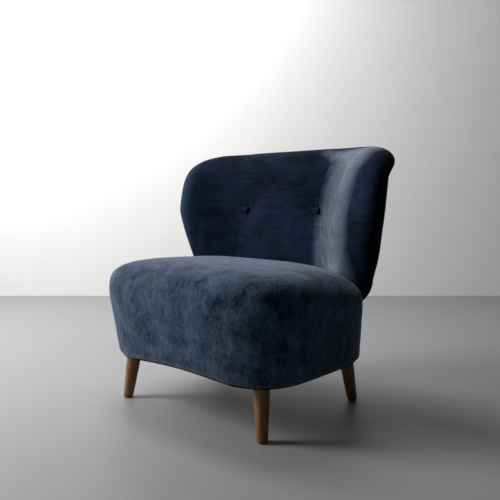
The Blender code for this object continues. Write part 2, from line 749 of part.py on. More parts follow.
def build_back_frame(looks, home):
    """Posts, rails, wing frames and webbing of the back."""
    outline = back_outline()
    outer = inset_outline(outline, BACK_BORDER + FRAME_CLEARANCE)
    inner = inset_outline(outline, BACK_BORDER + FRAME_CLEARANCE + FRAME_WIDTH)
    top = list(zip(outer, inner))
    top_run = top[-TOP_RAIL_STEPS:] + top[:TOP_RAIL_STEPS + 1]
    rim_bar("back_top_rail", top_run, looks["beech"], home, backward=TOP_RAIL_STEPS + 1)
    wing = []
    for o, i in top[TOP_RAIL_STEPS:]:
        if i.x < POST_OUTER + FRAME_CLEARANCE or o.y < BACK_BOTTOM_Z:
            break
        wing.append((o, i))
    wing[0] = tuple(near.lerp(far, FRAME_JOINT_SHARE) for near, far in zip(wing[0], wing[1]))
    low = BACK_BOTTOM_Z + BACK_BORDER + FRAME_CLEARANCE
    wing.append((Vector((POST_OUTER + GAP, low)), Vector((POST_OUTER + GAP, low + FRAME_WIDTH))))
    for side, sign in (("right", 1), ("left", -1)):
        run = [(Vector((sign * o.x, o.y)), Vector((sign * i.x, i.y))) for o, i in wing]
        rim_bar(f"wing_frame_{side}", run, looks["beech"], home)
    post_top = min(height_at(inner, POST_OUTER), height_at(inner, POST_OUTER - POST_WIDTH)) - GAP
    post_inner = POST_OUTER - POST_WIDTH
    posts = []
    for side, sign in (("right", 1), ("left", -1)):
        corners = [(sign * post_inner, low), (sign * POST_OUTER, low),
                   (sign * POST_OUTER, post_top), (sign * post_inner, post_top)]
        posts.append(bent_plate(f"back_post_{side}", corners, FRAME_REAR, FRAME_FACE, looks["beech"], home))
    edge = post_inner - GAP
    corners = [(-edge, low), (edge, low), (edge, low + FRAME_WIDTH), (-edge, low + FRAME_WIDTH)]
    bent_plate("back_lower_rail", corners, FRAME_REAR, FRAME_FACE, looks["beech"], home)
    webs = []
    for n, z in enumerate(WEB_HEIGHTS):
        reach = POST_OUTER - WEB_END
        corners = [(-reach, z - WEB_WIDTH / 2), (reach, z - WEB_WIDTH / 2),
                   (reach, z + WEB_WIDTH / 2), (-reach, z + WEB_WIDTH / 2)]
        webs.append(bent_plate(f"back_webbing_{n + 1}", corners, WEB_REAR, WEB_REAR + WEB_THICKNESS,
                               looks["webbing"], home))
    return posts, webs


def build_back_soft(looks, home, hollows):
    """Foam, cover and outside panel of the back."""
    rim = inset_outline(back_outline(), BACK_BORDER)
    floor = floor_rings(rim, POCKET_FLOOR, LAYER_SHARES)
    foam_rings = back_skin(COVER_THICKNESS + SOFT_GAP)
    foam = loft("back_foam", list(reversed(floor)) + foam_rings, looks["foam"], home,
                backward=len(floor), mirrored=True)
    outer = back_skin(0.0)
    inner = back_skin(COVER_THICKNESS)
    cover = loft("back_cover", list(reversed(outer)) + inner, looks["velvet"], home,
                 backward=len(outer), mirrored=True)
    for piece in (foam, cover):
        for tool in hollows:
            cut(piece, tool)
    panel = inset_outline(back_outline(), BACK_BORDER + PANEL_CLEARANCE)
    rear = floor_rings(panel, PANEL_REAR, LAYER_SHARES)
    face = floor_rings(panel, PANEL_REAR + PANEL_THICKNESS, LAYER_SHARES)
    loft("outside_back_panel", list(reversed(rear)) + face, looks["velvet"], home,
         backward=len(rear), mirrored=True)


def back_envelope(tools):
    """Space that the back fills, with its clearance, for the seat's soft parts."""
    outline = inset_outline(back_outline(), -SOFT_GAP)
    behind = floor_rings(outline, -BACK_THICKNESS / 2 - BEHIND_BACK, LAYER_SHARES)
    edge = [back_point(p.x, p.y, 0.0) for p in outline]
    front = roll_rings(-SOFT_GAP, 1) + back_front_rings(-SOFT_GAP)
    rings = list(reversed(behind)) + [edge] + front
    return loft("cut_back_envelope", rings, None, tools, mirrored=True)


def build_buttons(looks, home, tools, webs):
    """Covered buttons, their twine and the toggles behind the webbing."""
    channels = []
    for side, sign in (("left", -1), ("right", 1)):
        x = sign * BUTTON_SPACING
        dent = back_face(x, WING_WIDEST_Z, BACK_THICKNESS / 2, 0.0)
        seat = back_point(x, WING_WIDEST_Z, dent)
        out = Vector((0.0, -math.cos(BACK_LEAN), math.sin(BACK_LEAN)))
        profile = [(0.0, BUTTON_DOME)]
        for k in range(1, BUTTON_STEPS + 1):
            angle = math.pi / 2 * k / BUTTON_STEPS
            profile.append((BUTTON_RADIUS * math.sin(angle), BUTTON_DOME * math.cos(angle)))
        profile += [(BUTTON_RADIUS - 2 * BUTTON_LIP, -BUTTON_LIP), (SHANK_RADIUS, -BUTTON_LIP),
                    (SHANK_RADIUS, -SHANK_LENGTH), (0.0, -SHANK_LENGTH)]
        button = turned(f"button_{side}", profile, looks["velvet"], home, steps=BUTTON_SIDES)
        base = seat + out * BUTTON_LIFT
        button.location = base
        button.rotation_mode = "QUATERNION"
        button.rotation_quaternion = out.to_track_quat("Z", "X")
        toggle_front = seat - out * ((dent - WEB_REAR + GAP) * math.cos(BACK_LEAN))
        start = base - out * (SHANK_LENGTH + GAP)
        end = toggle_front + out * GAP
        rod(f"button_twine_{side}", start, end, TWINE_RADIUS, looks["twine"], home, sides=TWINE_SIDES)
        rod(f"button_toggle_{side}", toggle_front, toggle_front - out * TOGGLE_THICKNESS,
            TOGGLE_RADIUS, looks["nylon"], home, sides=TOGGLE_SIDES)
        channel = rod(f"cut_channel_{side}", seat + out * CHANNEL_REACH, toggle_front + out * FACE_CLEARANCE,
                      SHANK_RADIUS + BORE_GAP, None, tools)
        channels.append(channel)
        cut(webs[1], channel)
    return channels


def bracket_path(offset):
    """Side profile line of the cranked bracket at a distance in front of its rear face."""
    lower_y = FRAME_BACK - RAIL_THICKNESS - GAP - offset
    rear = FRAME_FACE + GAP + offset
    bend_z = BACK_BOTTOM_Z + BACK_BORDER
    return [(lower_y, BRACKET_FOOT_Z), (lower_y, BRACKET_BEND_Z),
            (back_point(POST_OUTER, bend_z, rear).y, bend_z),
            (back_point(POST_OUTER, BRACKET_TOP_Z, rear).y, BRACKET_TOP_Z)]


def bracket_body(name, x, grow, look, home):
    """Cranked flat bar seen from the side, extruded to its width."""
    rear = bracket_path(-grow)
    front = bracket_path(BRACKET_THICKNESS + grow)
    (y0, z0), (y1, z1) = rear[0], rear[-1]
    rear[0] = (y0, z0 - grow)
    rear[-1] = (y1, z1 + grow)
    (y0, z0), (y1, z1) = front[0], front[-1]
    front[0] = (y0, z0 - grow)
    front[-1] = (y1, z1 + grow)
    outline = rear + list(reversed(front))
    half = BRACKET_WIDTH / 2 + grow
    rings = [[(x + dx, y, z) for y, z in outline] for dx in (-half, half)]
    return loft(name, rings, look, home, smooth=False)


def build_brackets(looks, home, tools, rail, posts):
    """Brackets and bolts that hold the back to the seat's back rail."""
    slots = []
    recesses = []
    for (side, sign), post in zip((("right", 1), ("left", -1)), posts):
        x = sign * BRACKET_X
        bracket = bracket_body(f"back_bracket_{side}", x, 0.0, looks["steel"], home)
        slots.append(bracket_body(f"cut_bracket_{side}", x, SOFT_GAP, None, tools))
        places = (
            ("lower", LOWER_BOLT_Z, FRAME_BACK - RAIL_THICKNESS - GAP - BRACKET_THICKNESS, RAIL_THICKNESS, rail),
            ("upper", UPPER_BOLT_Z,
             back_point(POST_OUTER, UPPER_BOLT_Z, FRAME_FACE + GAP + BRACKET_THICKNESS).y,
             FRAME_THICKNESS, post),
        )
        for level, z, face, wood, wooden in places:
            lean = 0.0 if level == "lower" else math.tan(BACK_LEAN) * BRACKET_BOLT_HEAD_RADIUS
            head = face - lean - GAP
            tip = face + BRACKET_THICKNESS + wood - BOLT_TIP_INSET
            profile = [(0.0, tip - head), (BRACKET_BOLT_RADIUS, tip - head), (BRACKET_BOLT_RADIUS, 0.0),
                       (BRACKET_BOLT_HEAD_RADIUS, 0.0), (BRACKET_BOLT_HEAD_RADIUS, -BRACKET_BOLT_HEAD),
                       (0.0, -BRACKET_BOLT_HEAD)]
            bolt = turned(f"bracket_bolt_{level}_{side}", profile, looks["steel"], home, steps=ROD_SIDES)
            bolt.location = (x, head, z)
            bolt.rotation_mode = "QUATERNION"
            bolt.rotation_quaternion = Vector((0, 1, 0)).to_track_quat("Z", "X")
            bore = rod(f"cut_bracket_bolt_{level}_{side}", (x, head + FACE_CLEARANCE, z), (x, tip + GAP, z),
                       BRACKET_BOLT_RADIUS + BORE_GAP, None, tools)
            cut(bracket, bore)
            cut(wooden, bore)
            if level == "upper":
                recess = rod(f"cut_bolt_head_{side}", (x, head - BRACKET_BOLT_HEAD - SOFT_GAP, z),
                             (x, head + BOLT_HEAD_POCKET, z), BRACKET_BOLT_HEAD_RADIUS + SOFT_GAP, None, tools)
                recesses.append(recess)
    return slots, recesses


def centre_on_floor(home, root):
    """Move the whole chair so that its box is centred over the origin."""
    bpy.context.view_layer.update()
    graph = bpy.context.evaluated_depsgraph_get()
    low, high = math.inf, -math.inf
    for obj in home.objects:
        if obj.type == "EMPTY":
            continue
        shown = obj.evaluated_get(graph)
        for vertex in shown.to_mesh().vertices:
            y = (obj.matrix_world @ vertex.co).y
            low, high = min(low, y), max(high, y)
        shown.to_mesh_clear()
    root.location.y = -(low + high) / 2


def main():
    """Build the chair."""
    for obj in list(bpy.data.objects):
        bpy.data.objects.remove(obj, do_unlink=True)
    home = collection("upholstered_chair")
    tools = collection("cutters")
    looks = {
        "velvet": material("velvet", (0.030, 0.052, 0.095), 0.85),
        "walnut": material("walnut", (0.190, 0.095, 0.045), 0.45),
        "beech": material("beech", (0.560, 0.390, 0.230), 0.60),
        "steel": material("steel", (0.520, 0.530, 0.550), 0.35, 1.0),
        "nylon": material("nylon", (0.030, 0.030, 0.032), 0.50),
        "foam": material("foam", (0.780, 0.720, 0.560), 0.95),
        "felt": material("felt", (0.230, 0.220, 0.210), 0.95),
        "cambric": material("cambric", (0.020, 0.020, 0.022), 0.90),
        "webbing": material("webbing", (0.110, 0.100, 0.090), 0.80),
        "twine": material("twine", (0.620, 0.600, 0.540), 0.80),
    }
    bolts, recesses = build_legs(looks, home, tools)
    rail = build_seat_frame(looks, home, tools, bolts)
    build_springs(looks, home)
    posts, webs = build_back_frame(looks, home)
    slots, heads = build_brackets(looks, home, tools, rail, posts)
    channels = build_buttons(looks, home, tools, webs)
    build_back_soft(looks, home, slots + heads + channels)
    build_seat_soft(looks, home, tools, bolts, recesses, back_envelope(tools), slots)
    root = bpy.data.objects.new("chair_origin", None)
    home.objects.link(root)
    for obj in list(home.objects) + list(tools.objects):
        if obj is not root:
            obj.parent = root
    centre_on_floor(home, root)
    bpy.context.view_layer.update()


main()
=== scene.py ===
"""Dressed model of a low upholstered lounge chair.

A domed seat block in crushed navy velvet, a back in slubbed navy velvet that wraps
into two short wings, two covered buttons and four splayed walnut legs. The back's velvet
is painted darker than the seat's as painted shade, with a painted highlight band inside
the right wing and a painted highlight along the left wing's edge. Metres, +Z up,
the front facing -Y, in the same frame as the chair's solid parts.
"""
from __future__ import annotations

import json
import logging
import math
from collections.abc import Callable, Sequence
from dataclasses import dataclass
from enum import Enum

import bmesh
import bpy
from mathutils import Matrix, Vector, noise


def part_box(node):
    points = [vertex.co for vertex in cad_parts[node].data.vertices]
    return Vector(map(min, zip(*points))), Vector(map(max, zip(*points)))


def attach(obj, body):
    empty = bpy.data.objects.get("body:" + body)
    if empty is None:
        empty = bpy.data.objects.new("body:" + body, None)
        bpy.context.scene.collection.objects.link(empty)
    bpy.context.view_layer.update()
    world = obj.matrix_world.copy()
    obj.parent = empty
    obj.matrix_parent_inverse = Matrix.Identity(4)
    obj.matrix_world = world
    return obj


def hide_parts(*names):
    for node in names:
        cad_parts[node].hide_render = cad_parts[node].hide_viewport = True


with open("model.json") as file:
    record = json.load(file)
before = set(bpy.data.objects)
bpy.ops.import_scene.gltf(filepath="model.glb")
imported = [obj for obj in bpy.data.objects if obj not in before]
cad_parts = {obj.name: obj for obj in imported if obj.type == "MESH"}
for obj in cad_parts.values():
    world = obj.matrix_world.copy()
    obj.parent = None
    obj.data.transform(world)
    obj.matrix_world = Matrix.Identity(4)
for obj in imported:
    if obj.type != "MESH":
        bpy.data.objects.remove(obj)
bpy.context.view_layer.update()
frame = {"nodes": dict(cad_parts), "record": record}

logger = logging.getLogger("lounge_chair")

Colour = tuple[float, float, float]
Range = tuple[float, float]
Ring = list[Vector]

# The camera was fitted in a frame whose Y has another zero; the seat's rear ties the two.
FITTED_SEAT_REAR = 0.245
FITTED_BACK_MIDDLE = 0.210
FITTED_CAMERA = (1.2529, -1.4041, 0.6201)


class Nap(Enum):
    """Way that the velvet's pile is brushed."""

    CRUSHED = "crushed"
    SLUBBED = "slubbed"


class Pitch(Enum):
    """Spacing of what repeats along an edge, in metres."""

    STAPLE = 0.032
    STITCH = 0.010


def quarter_points(width: float, depth: float, squareness: float, count: int) -> Ring:
    """Points of a superellipse quarter, evenly spaced, from the depth axis to the width axis.

    Args:
        width: Half axis along X.
        depth: Half axis along Y.
        squareness: Exponent; 2 is an ellipse, more is squarer.
        count: Number of steps.

    Returns:
        count + 1 flat points.
    """
    samples = 800
    dense = []
    for k in range(samples + 1):
        angle = math.pi / 2 * k / samples
        across = width * math.sin(angle) ** (2 / squareness)
        along = depth * math.cos(angle) ** (2 / squareness)
        dense.append(Vector((across, along)))
    return evenly(dense, count)


def evenly(points: Sequence[Vector], count: int) -> Ring:
    """Resample a line into equal steps, both ends kept.

    Args:
        points: The line.
        count: Number of steps.

    Returns:
        count + 1 points.
    """
    lengths = [0.0]
    for a, b in zip(points, points[1:]):
        lengths.append(lengths[-1] + (b - a).length)
    result = []
    k = 0
    for i in range(count + 1):
        target = lengths[-1] * i / count
        while k < len(points) - 2 and lengths[k + 1] < target:
            k += 1
        span = lengths[k + 1] - lengths[k]
        share = 0.0 if span == 0.0 else (target - lengths[k]) / span
        result.append(points[k].lerp(points[k + 1], min(1.0, share)))
    return result


def inset_outline(points: Sequence[Vector], distance: float) -> Ring:
    """Draw a closed flat outline in along its own normals.

    Args:
        points: The outline, clockwise.
        distance: How far to draw it in.

    Returns:
        The inner outline, of as many points.
    """
    count = len(points)
    result = []
    for i in range(count):
        along = (points[(i + 1) % count] - points[i - 1]).normalized()
        result.append(points[i] + distance * Vector((along.y, -along.x)))
    return result


def mirrored(half: Ring) -> Ring:
    """Closed outline from its right half, which starts and ends on the middle line."""
    return half + [Vector((-p.x, p.y)) for p in reversed(half[1:-1])]


def circle(centre: Vector, radius: float, sides: int) -> Ring:
    """Level ring of points round a centre.

    Args:
        centre: Its middle.
        radius: Its radius.
        sides: Number of points.

    Returns:
        The points, from +X round by +Y.
    """
    turns = [math.tau * k / sides for k in range(sides)]
    return [centre + radius * Vector((math.cos(turn), math.sin(turn), 0.0)) for turn in turns]


def eased(value: float, start: float, end: float) -> float:
    """Share from 0 at start to 1 at end, level at both.

    Args:
        value: Where it is read.
        start: Value up to which it is 0.
        end: Value from which it is 1.

    Returns:
        The share.
    """
    share = min(1.0, max(0.0, (value - start) / (end - start)))
    return share * share * (3.0 - 2.0 * share)


def scaled(colour: Colour, factor: float) -> Colour:
    """Colour made darker or lighter by a factor."""
    return tuple(factor * part for part in colour)


def link(obj: bpy.types.Object) -> bpy.types.Object:
    """Put an object in the scene and return it."""
    bpy.context.scene.collection.objects.link(obj)
    return obj


def smooth(mesh: bpy.types.Mesh, angle: float = 40.0) -> None:
    """Shade a mesh smooth, with creases past an angle in degrees."""
    mesh.shade_smooth()
    mesh.set_sharp_from_angle(angle=math.radians(angle))


def paint(obj: bpy.types.Object, finish: bpy.types.Material) -> None:
    """Give a piece one finish all over."""
    obj.data.materials.clear()
    obj.data.materials.append(finish)


def mesh_from(builder: bmesh.types.BMesh, name: str) -> bpy.types.Mesh:
    """Take the mesh out of a builder and free the builder.

    Args:
        builder: The builder.
        name: The new mesh's name.

    Returns:
        The mesh.
    """
    mesh = bpy.data.meshes.new(name)
    builder.to_mesh(mesh)
    builder.free()
    return mesh


def loft(name: str, rings: Sequence[Sequence[Vector]]) -> bpy.types.Object:
    """Closed body through rings of equal count; a ring of one point is a pole.

    Args:
        name: The new object's name.
        rings: The sections, each one a closed ring of points or a pole.

    Returns:
        The object, linked to the scene.
    """
    builder = bmesh.new()
    rows = [[builder.verts.new(point) for point in ring] for ring in rings]
    for near, far in zip(rows, rows[1:]):
        count = max(len(near), len(far))
        for i in range(count):
            j = (i + 1) % count
            if len(near) == 1:
                builder.faces.new((near[0], far[i], far[j]))
            elif len(far) == 1:
                builder.faces.new((near[i], near[j], far[0]))
            else:
                builder.faces.new((near[i], near[j], far[j], far[i]))
    for ring in (rows[0], rows[-1]):
        if len(ring) > 1:
            builder.faces.new(ring)
    bmesh.ops.recalc_face_normals(builder, faces=builder.faces)
    mesh = mesh_from(builder, name)
    smooth(mesh)
    return link(bpy.data.objects.new(name, mesh))


def settle(obj: bpy.types.Object) -> None:
    """Apply an object's modifiers by taking its evaluated mesh.

    Args:
        obj: The object.
    """
    graph = bpy.context.evaluated_depsgraph_get()
    done = bpy.data.meshes.new_from_object(obj.evaluated_get(graph))
    old = obj.data
    obj.modifiers.clear()
    obj.data = done
    bpy.data.meshes.remove(old)


def carve(obj: bpy.types.Object, cutter: bpy.types.Object) -> None:
    """Take a cutter away from a piece and delete the cutter.

    Args:
        obj: The piece.
        cutter: The body that is taken away.
    """
    knife = obj.modifiers.new("Carve", "BOOLEAN")
    knife.operation = "DIFFERENCE"
    knife.solver = "EXACT"
    knife.object = cutter
    settle(obj)
    bpy.data.objects.remove(cutter)


def remesh(obj: bpy.types.Object, cell: float) -> None:
    """Give a piece an even skin of small square cells.

    Args:
        obj: The piece.
        cell: Size of a cell.
    """
    skin = obj.modifiers.new("Skin", "REMESH")
    skin.mode = "VOXEL"
    skin.voxel_size = cell
    skin.use_smooth_shade = True
    settle(obj)


def relax(obj: bpy.types.Object, rounds: int) -> None:
    """Smooth a skin a little, so that a cut edge rounds over as cloth does.

    Args:
        obj: The skin.
        rounds: How many times it is smoothed.
    """
    ease = obj.modifiers.new("Ease", "SMOOTH")
    ease.factor = 0.5
    ease.iterations = rounds
    settle(obj)


def subdivide(obj: bpy.types.Object) -> None:
    """Split every cell of a skin once and smooth it.

    Args:
        obj: The skin.
    """
    split = obj.modifiers.new("Split", "SUBSURF")
    split.levels = 1
    split.render_levels = 1
    settle(obj)


def keep(obj: bpy.types.Object, slot: str, *nodes: str) -> None:
    """Let a finished piece stand for nodes of the chair.

    Args:
        obj: The piece.
        slot: The record's material slot that matches its finish; not used.
        nodes: The nodes that it stands for; none where it is only added.
    """
    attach(obj, "root")
    if nodes:
        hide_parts(*nodes)
    logger.info("%s: %d faces", obj.name, len(obj.data.polygons))


@dataclass(frozen=True)
class SheetFill:
    """Cloth simulation that fills a cover from inside."""

    pressure: float
    cap: float
    frames: int = 20
    quality: int = 6
    mass: float = 0.4
    stiffness: float = 18.0
    bending: float = 1.5

    def blow(self, obj: bpy.types.Object, held: Callable[[Vector], float]) -> None:
        """Swell a closed skin and leave no Cloth on it.

        Args:
            obj: The skin.
            held: Gives how firmly a point is held, from 0, free, to 1, fixed.
        """
        rest = [vertex.co.copy() for vertex in obj.data.vertices]
        group = obj.vertex_groups.new(name="held")
        for index, point in enumerate(rest):
            grip = held(point)
            if grip > 0.0:
                group.add([index], min(1.0, grip), "REPLACE")
        cloth = obj.modifiers.new("Fill", "CLOTH")
        settings = cloth.settings
        settings.quality = self.quality
        settings.mass = self.mass
        settings.tension_stiffness = self.stiffness
        settings.compression_stiffness = self.stiffness
        settings.shear_stiffness = self.stiffness / 3
        settings.bending_stiffness = self.bending
        settings.use_pressure = True
        settings.uniform_pressure_force = self.pressure
        settings.vertex_group_mass = "held"
        settings.effector_weights.gravity = 0.0
        cloth.collision_settings.use_collision = False
        cloth.point_cache.frame_start = 1
        cloth.point_cache.frame_end = self.frames
        scene = bpy.context.scene
        for number in range(1, self.frames + 1):
            scene.frame_set(number)
        graph = bpy.context.evaluated_depsgraph_get()
        blown = obj.evaluated_get(graph).to_mesh()
        places = [vertex.co.copy() for vertex in blown.vertices]
        obj.evaluated_get(graph).to_mesh_clear()
        obj.modifiers.clear()
        obj.vertex_groups.clear()
        scene.frame_set(1)
        for vertex, start, end in zip(obj.data.vertices, rest, places):
            move = end - start
            if move.length > self.cap:
                move *= self.cap / move.length
            vertex.co = start + move
        obj.data.update()


class Shading:
    """Small builder of one material's nodes."""

    def __init__(self, name: str) -> None:
        """Start a material.

        Args:
            name: The material's name.
        """
        self.material = bpy.data.materials.new(name)
        self.material.use_nodes = True
        self.tree = self.material.node_tree
        self.surface = self.tree.nodes["Principled BSDF"]
        self.place = self.tree.nodes.new("ShaderNodeTexCoord").outputs["Object"]
        axes = self.tree.nodes.new("ShaderNodeSeparateXYZ")
        self.join(self.place, axes.inputs["Vector"])
        self.across, self.along, self.height = axes.outputs

    def join(self, value: object, socket: bpy.types.NodeSocket) -> None:
        """Link a socket to another, or set it to a plain value.

        Args:
            value: The output or the plain value that it takes.
            socket: The input.
        """
        if isinstance(value, bpy.types.NodeSocket):
            self.tree.links.new(value, socket)
        else:
            socket.default_value = value

    def stretched(self, scale: Sequence[float],
                  at: bpy.types.NodeSocket | None = None) -> bpy.types.NodeSocket:
        """Coordinates that are scaled along each axis.

        Args:
            scale: Factor for each axis.
            at: The coordinates; the piece's own where none are given.

        Returns:
            The scaled coordinates.
        """
        mapping = self.tree.nodes.new("ShaderNodeMapping")
        mapping.vector_type = "POINT"
        self.join(at or self.place, mapping.inputs["Vector"])
        mapping.inputs["Scale"].default_value = scale
        return mapping.outputs["Vector"]

    def cloud(self, at: bpy.types.NodeSocket, scale: float, detail: float = 4.0,
              roughness: float = 0.55, distortion: float = 0.0) -> bpy.types.NodeSocket:
        """Noise between 0 and 1.

        Args:
            at: The coordinates.
            scale: Swells in a metre.
            detail: Octaves of finer noise.
            roughness: Strength of each finer octave.
            distortion: How far the noise is twisted.

        Returns:
            The noise.
        """
        made = self.tree.nodes.new("ShaderNodeTexNoise")
        self.join(at, made.inputs["Vector"])
        made.inputs["Scale"].default_value = scale
        made.inputs["Detail"].default_value = detail
        made.inputs["Roughness"].default_value = roughness
        made.inputs["Distortion"].default_value = distortion
        return made.outputs["Fac"]

    def wave(self, at: bpy.types.NodeSocket, scale: float, distortion: float,
             direction: str) -> bpy.types.NodeSocket:
        """Bands between 0 and 1 along one axis.

        Args:
            at: The coordinates.
            scale: Fineness of the bands.
            distortion: How far they waver.
            direction: X or Y, the axis that they cross.

        Returns:
            The bands.
        """
        made = self.tree.nodes.new("ShaderNodeTexWave")
        made.bands_direction = direction
        self.join(at, made.inputs["Vector"])
        made.inputs["Scale"].default_value = scale
        made.inputs["Distortion"].default_value = distortion
        return made.outputs["Fac"]

    def maths(self, operation: str, *values: object) -> bpy.types.NodeSocket:
        """Arithmetic on numbers or sockets.

        Args:
            operation: Its name in Blender.
            values: What goes in, in order.

        Returns:
            The result.
        """
        made = self.tree.nodes.new("ShaderNodeMath")
        made.operation = operation
        for value, socket in zip(values, made.inputs):
            self.join(value, socket)
        return made.outputs[0]

    def spread(self, value: object, low: float, high: float, to_low: float = 0.0,
               to_high: float = 1.0) -> bpy.types.NodeSocket:
        """Stretch a range of a value over another range, clamped.

        Args:
            value: The value.
            low: Where its range starts.
            high: Where its range ends.
            to_low: What it becomes at the start.
            to_high: What it becomes at the end.

        Returns:
            The new value.
        """
        made = self.tree.nodes.new("ShaderNodeMapRange")
        made.clamp = True
        for given, socket in zip((value, low, high, to_low, to_high), made.inputs):
            self.join(given, socket)
        return made.outputs["Result"]

    def tint(self, factor: object, low: object, high: object) -> bpy.types.NodeSocket:
        """Mix two colours.

        Args:
            factor: Share of the second colour.
            low: The first colour.
            high: The second colour.

        Returns:
            The mixed colour.
        """
        made = self.tree.nodes.new("ShaderNodeMix")
        made.data_type = "RGBA"
        self.join(factor, made.inputs["Factor"])
        sockets = [socket for socket in made.inputs if socket.type == "RGBA"]
        for value, socket in zip((low, high), sockets):
            self.join(value if isinstance(value, bpy.types.NodeSocket) else (*value, 1.0), socket)
        return next(socket for socket in made.outputs if socket.type == "RGBA")

    def relief(self, height: bpy.types.NodeSocket, distance: float, strength: float = 1.0,
               over: bpy.types.NodeSocket | None = None) -> bpy.types.NodeSocket:
        """Bump of a given depth, over another one.

        Args:
            height: Where it is high and low.
            distance: Its depth in metres.
            strength: How strongly it shows.
            over: A coarser bump that it lies on.

        Returns:
            The bumped normal.
        """
        made = self.tree.nodes.new("ShaderNodeBump")
        self.join(height, made.inputs["Height"])
        made.inputs["Distance"].default_value = distance
        made.inputs["Strength"].default_value = strength
        if over is not None:
            self.join(over, made.inputs["Normal"])
        return made.outputs["Normal"]

    def finish(self, **sockets: object) -> bpy.types.Material:
        """Set the shader's own sockets, whose names have _ for a space.

        Args:
            sockets: Value or output for each of them.

        Returns:
            The material.
        """
        for name, value in sockets.items():
            self.join(value, self.surface.inputs[name.replace("_", " ")])
        return self.material


@dataclass(frozen=True)
class PileLayer:
    """One layer of a pile's unevenness, as stretched noise."""

    stretch: Sequence[float]
    scale: float
    detail: float
    roughness: float
    distortion: float
    weight: float = 0.0

    def cloud(self, shading: Shading, at: bpy.types.NodeSocket | None = None) -> bpy.types.NodeSocket:
        """Make the layer's noise, at the piece's own coordinates or others."""
        stretched = shading.stretched(self.stretch, at)
        return shading.cloud(stretched, self.scale, self.detail, self.roughness, self.distortion)


@dataclass(frozen=True)
class Pile:
    """Layers of a nap, and the range of their weighted sum from its deepest to its palest tone."""

    patches: PileLayer
    strokes: PileLayer
    thread: PileLayer
    tone: Range


PILES = {
    Nap.CRUSHED: Pile(
        PileLayer((1.0, 1.0, 0.85), 21.0, 9.0, 0.72, 0.25, 0.62),
        PileLayer((160.0, 160.0, 70.0), 1.0, 3.0, 0.6, 0.3, 0.22),
        PileLayer((1.0, 1.0, 0.35), 620.0, 2.0, 0.6, 0.0, 0.16),
        (0.40, 0.61),
    ),
    Nap.SLUBBED: Pile(
        PileLayer((0.8, 0.8, 1.0), 9.0, 5.0, 0.6, 0.5, 0.42),
        PileLayer((16.0, 16.0, 190.0), 1.0, 5.0, 0.7, 0.3, 0.37),
        PileLayer((0.3, 0.3, 1.0), 700.0, 2.0, 0.6, 0.0, 0.21),
        (0.41, 0.61),
    ),
}


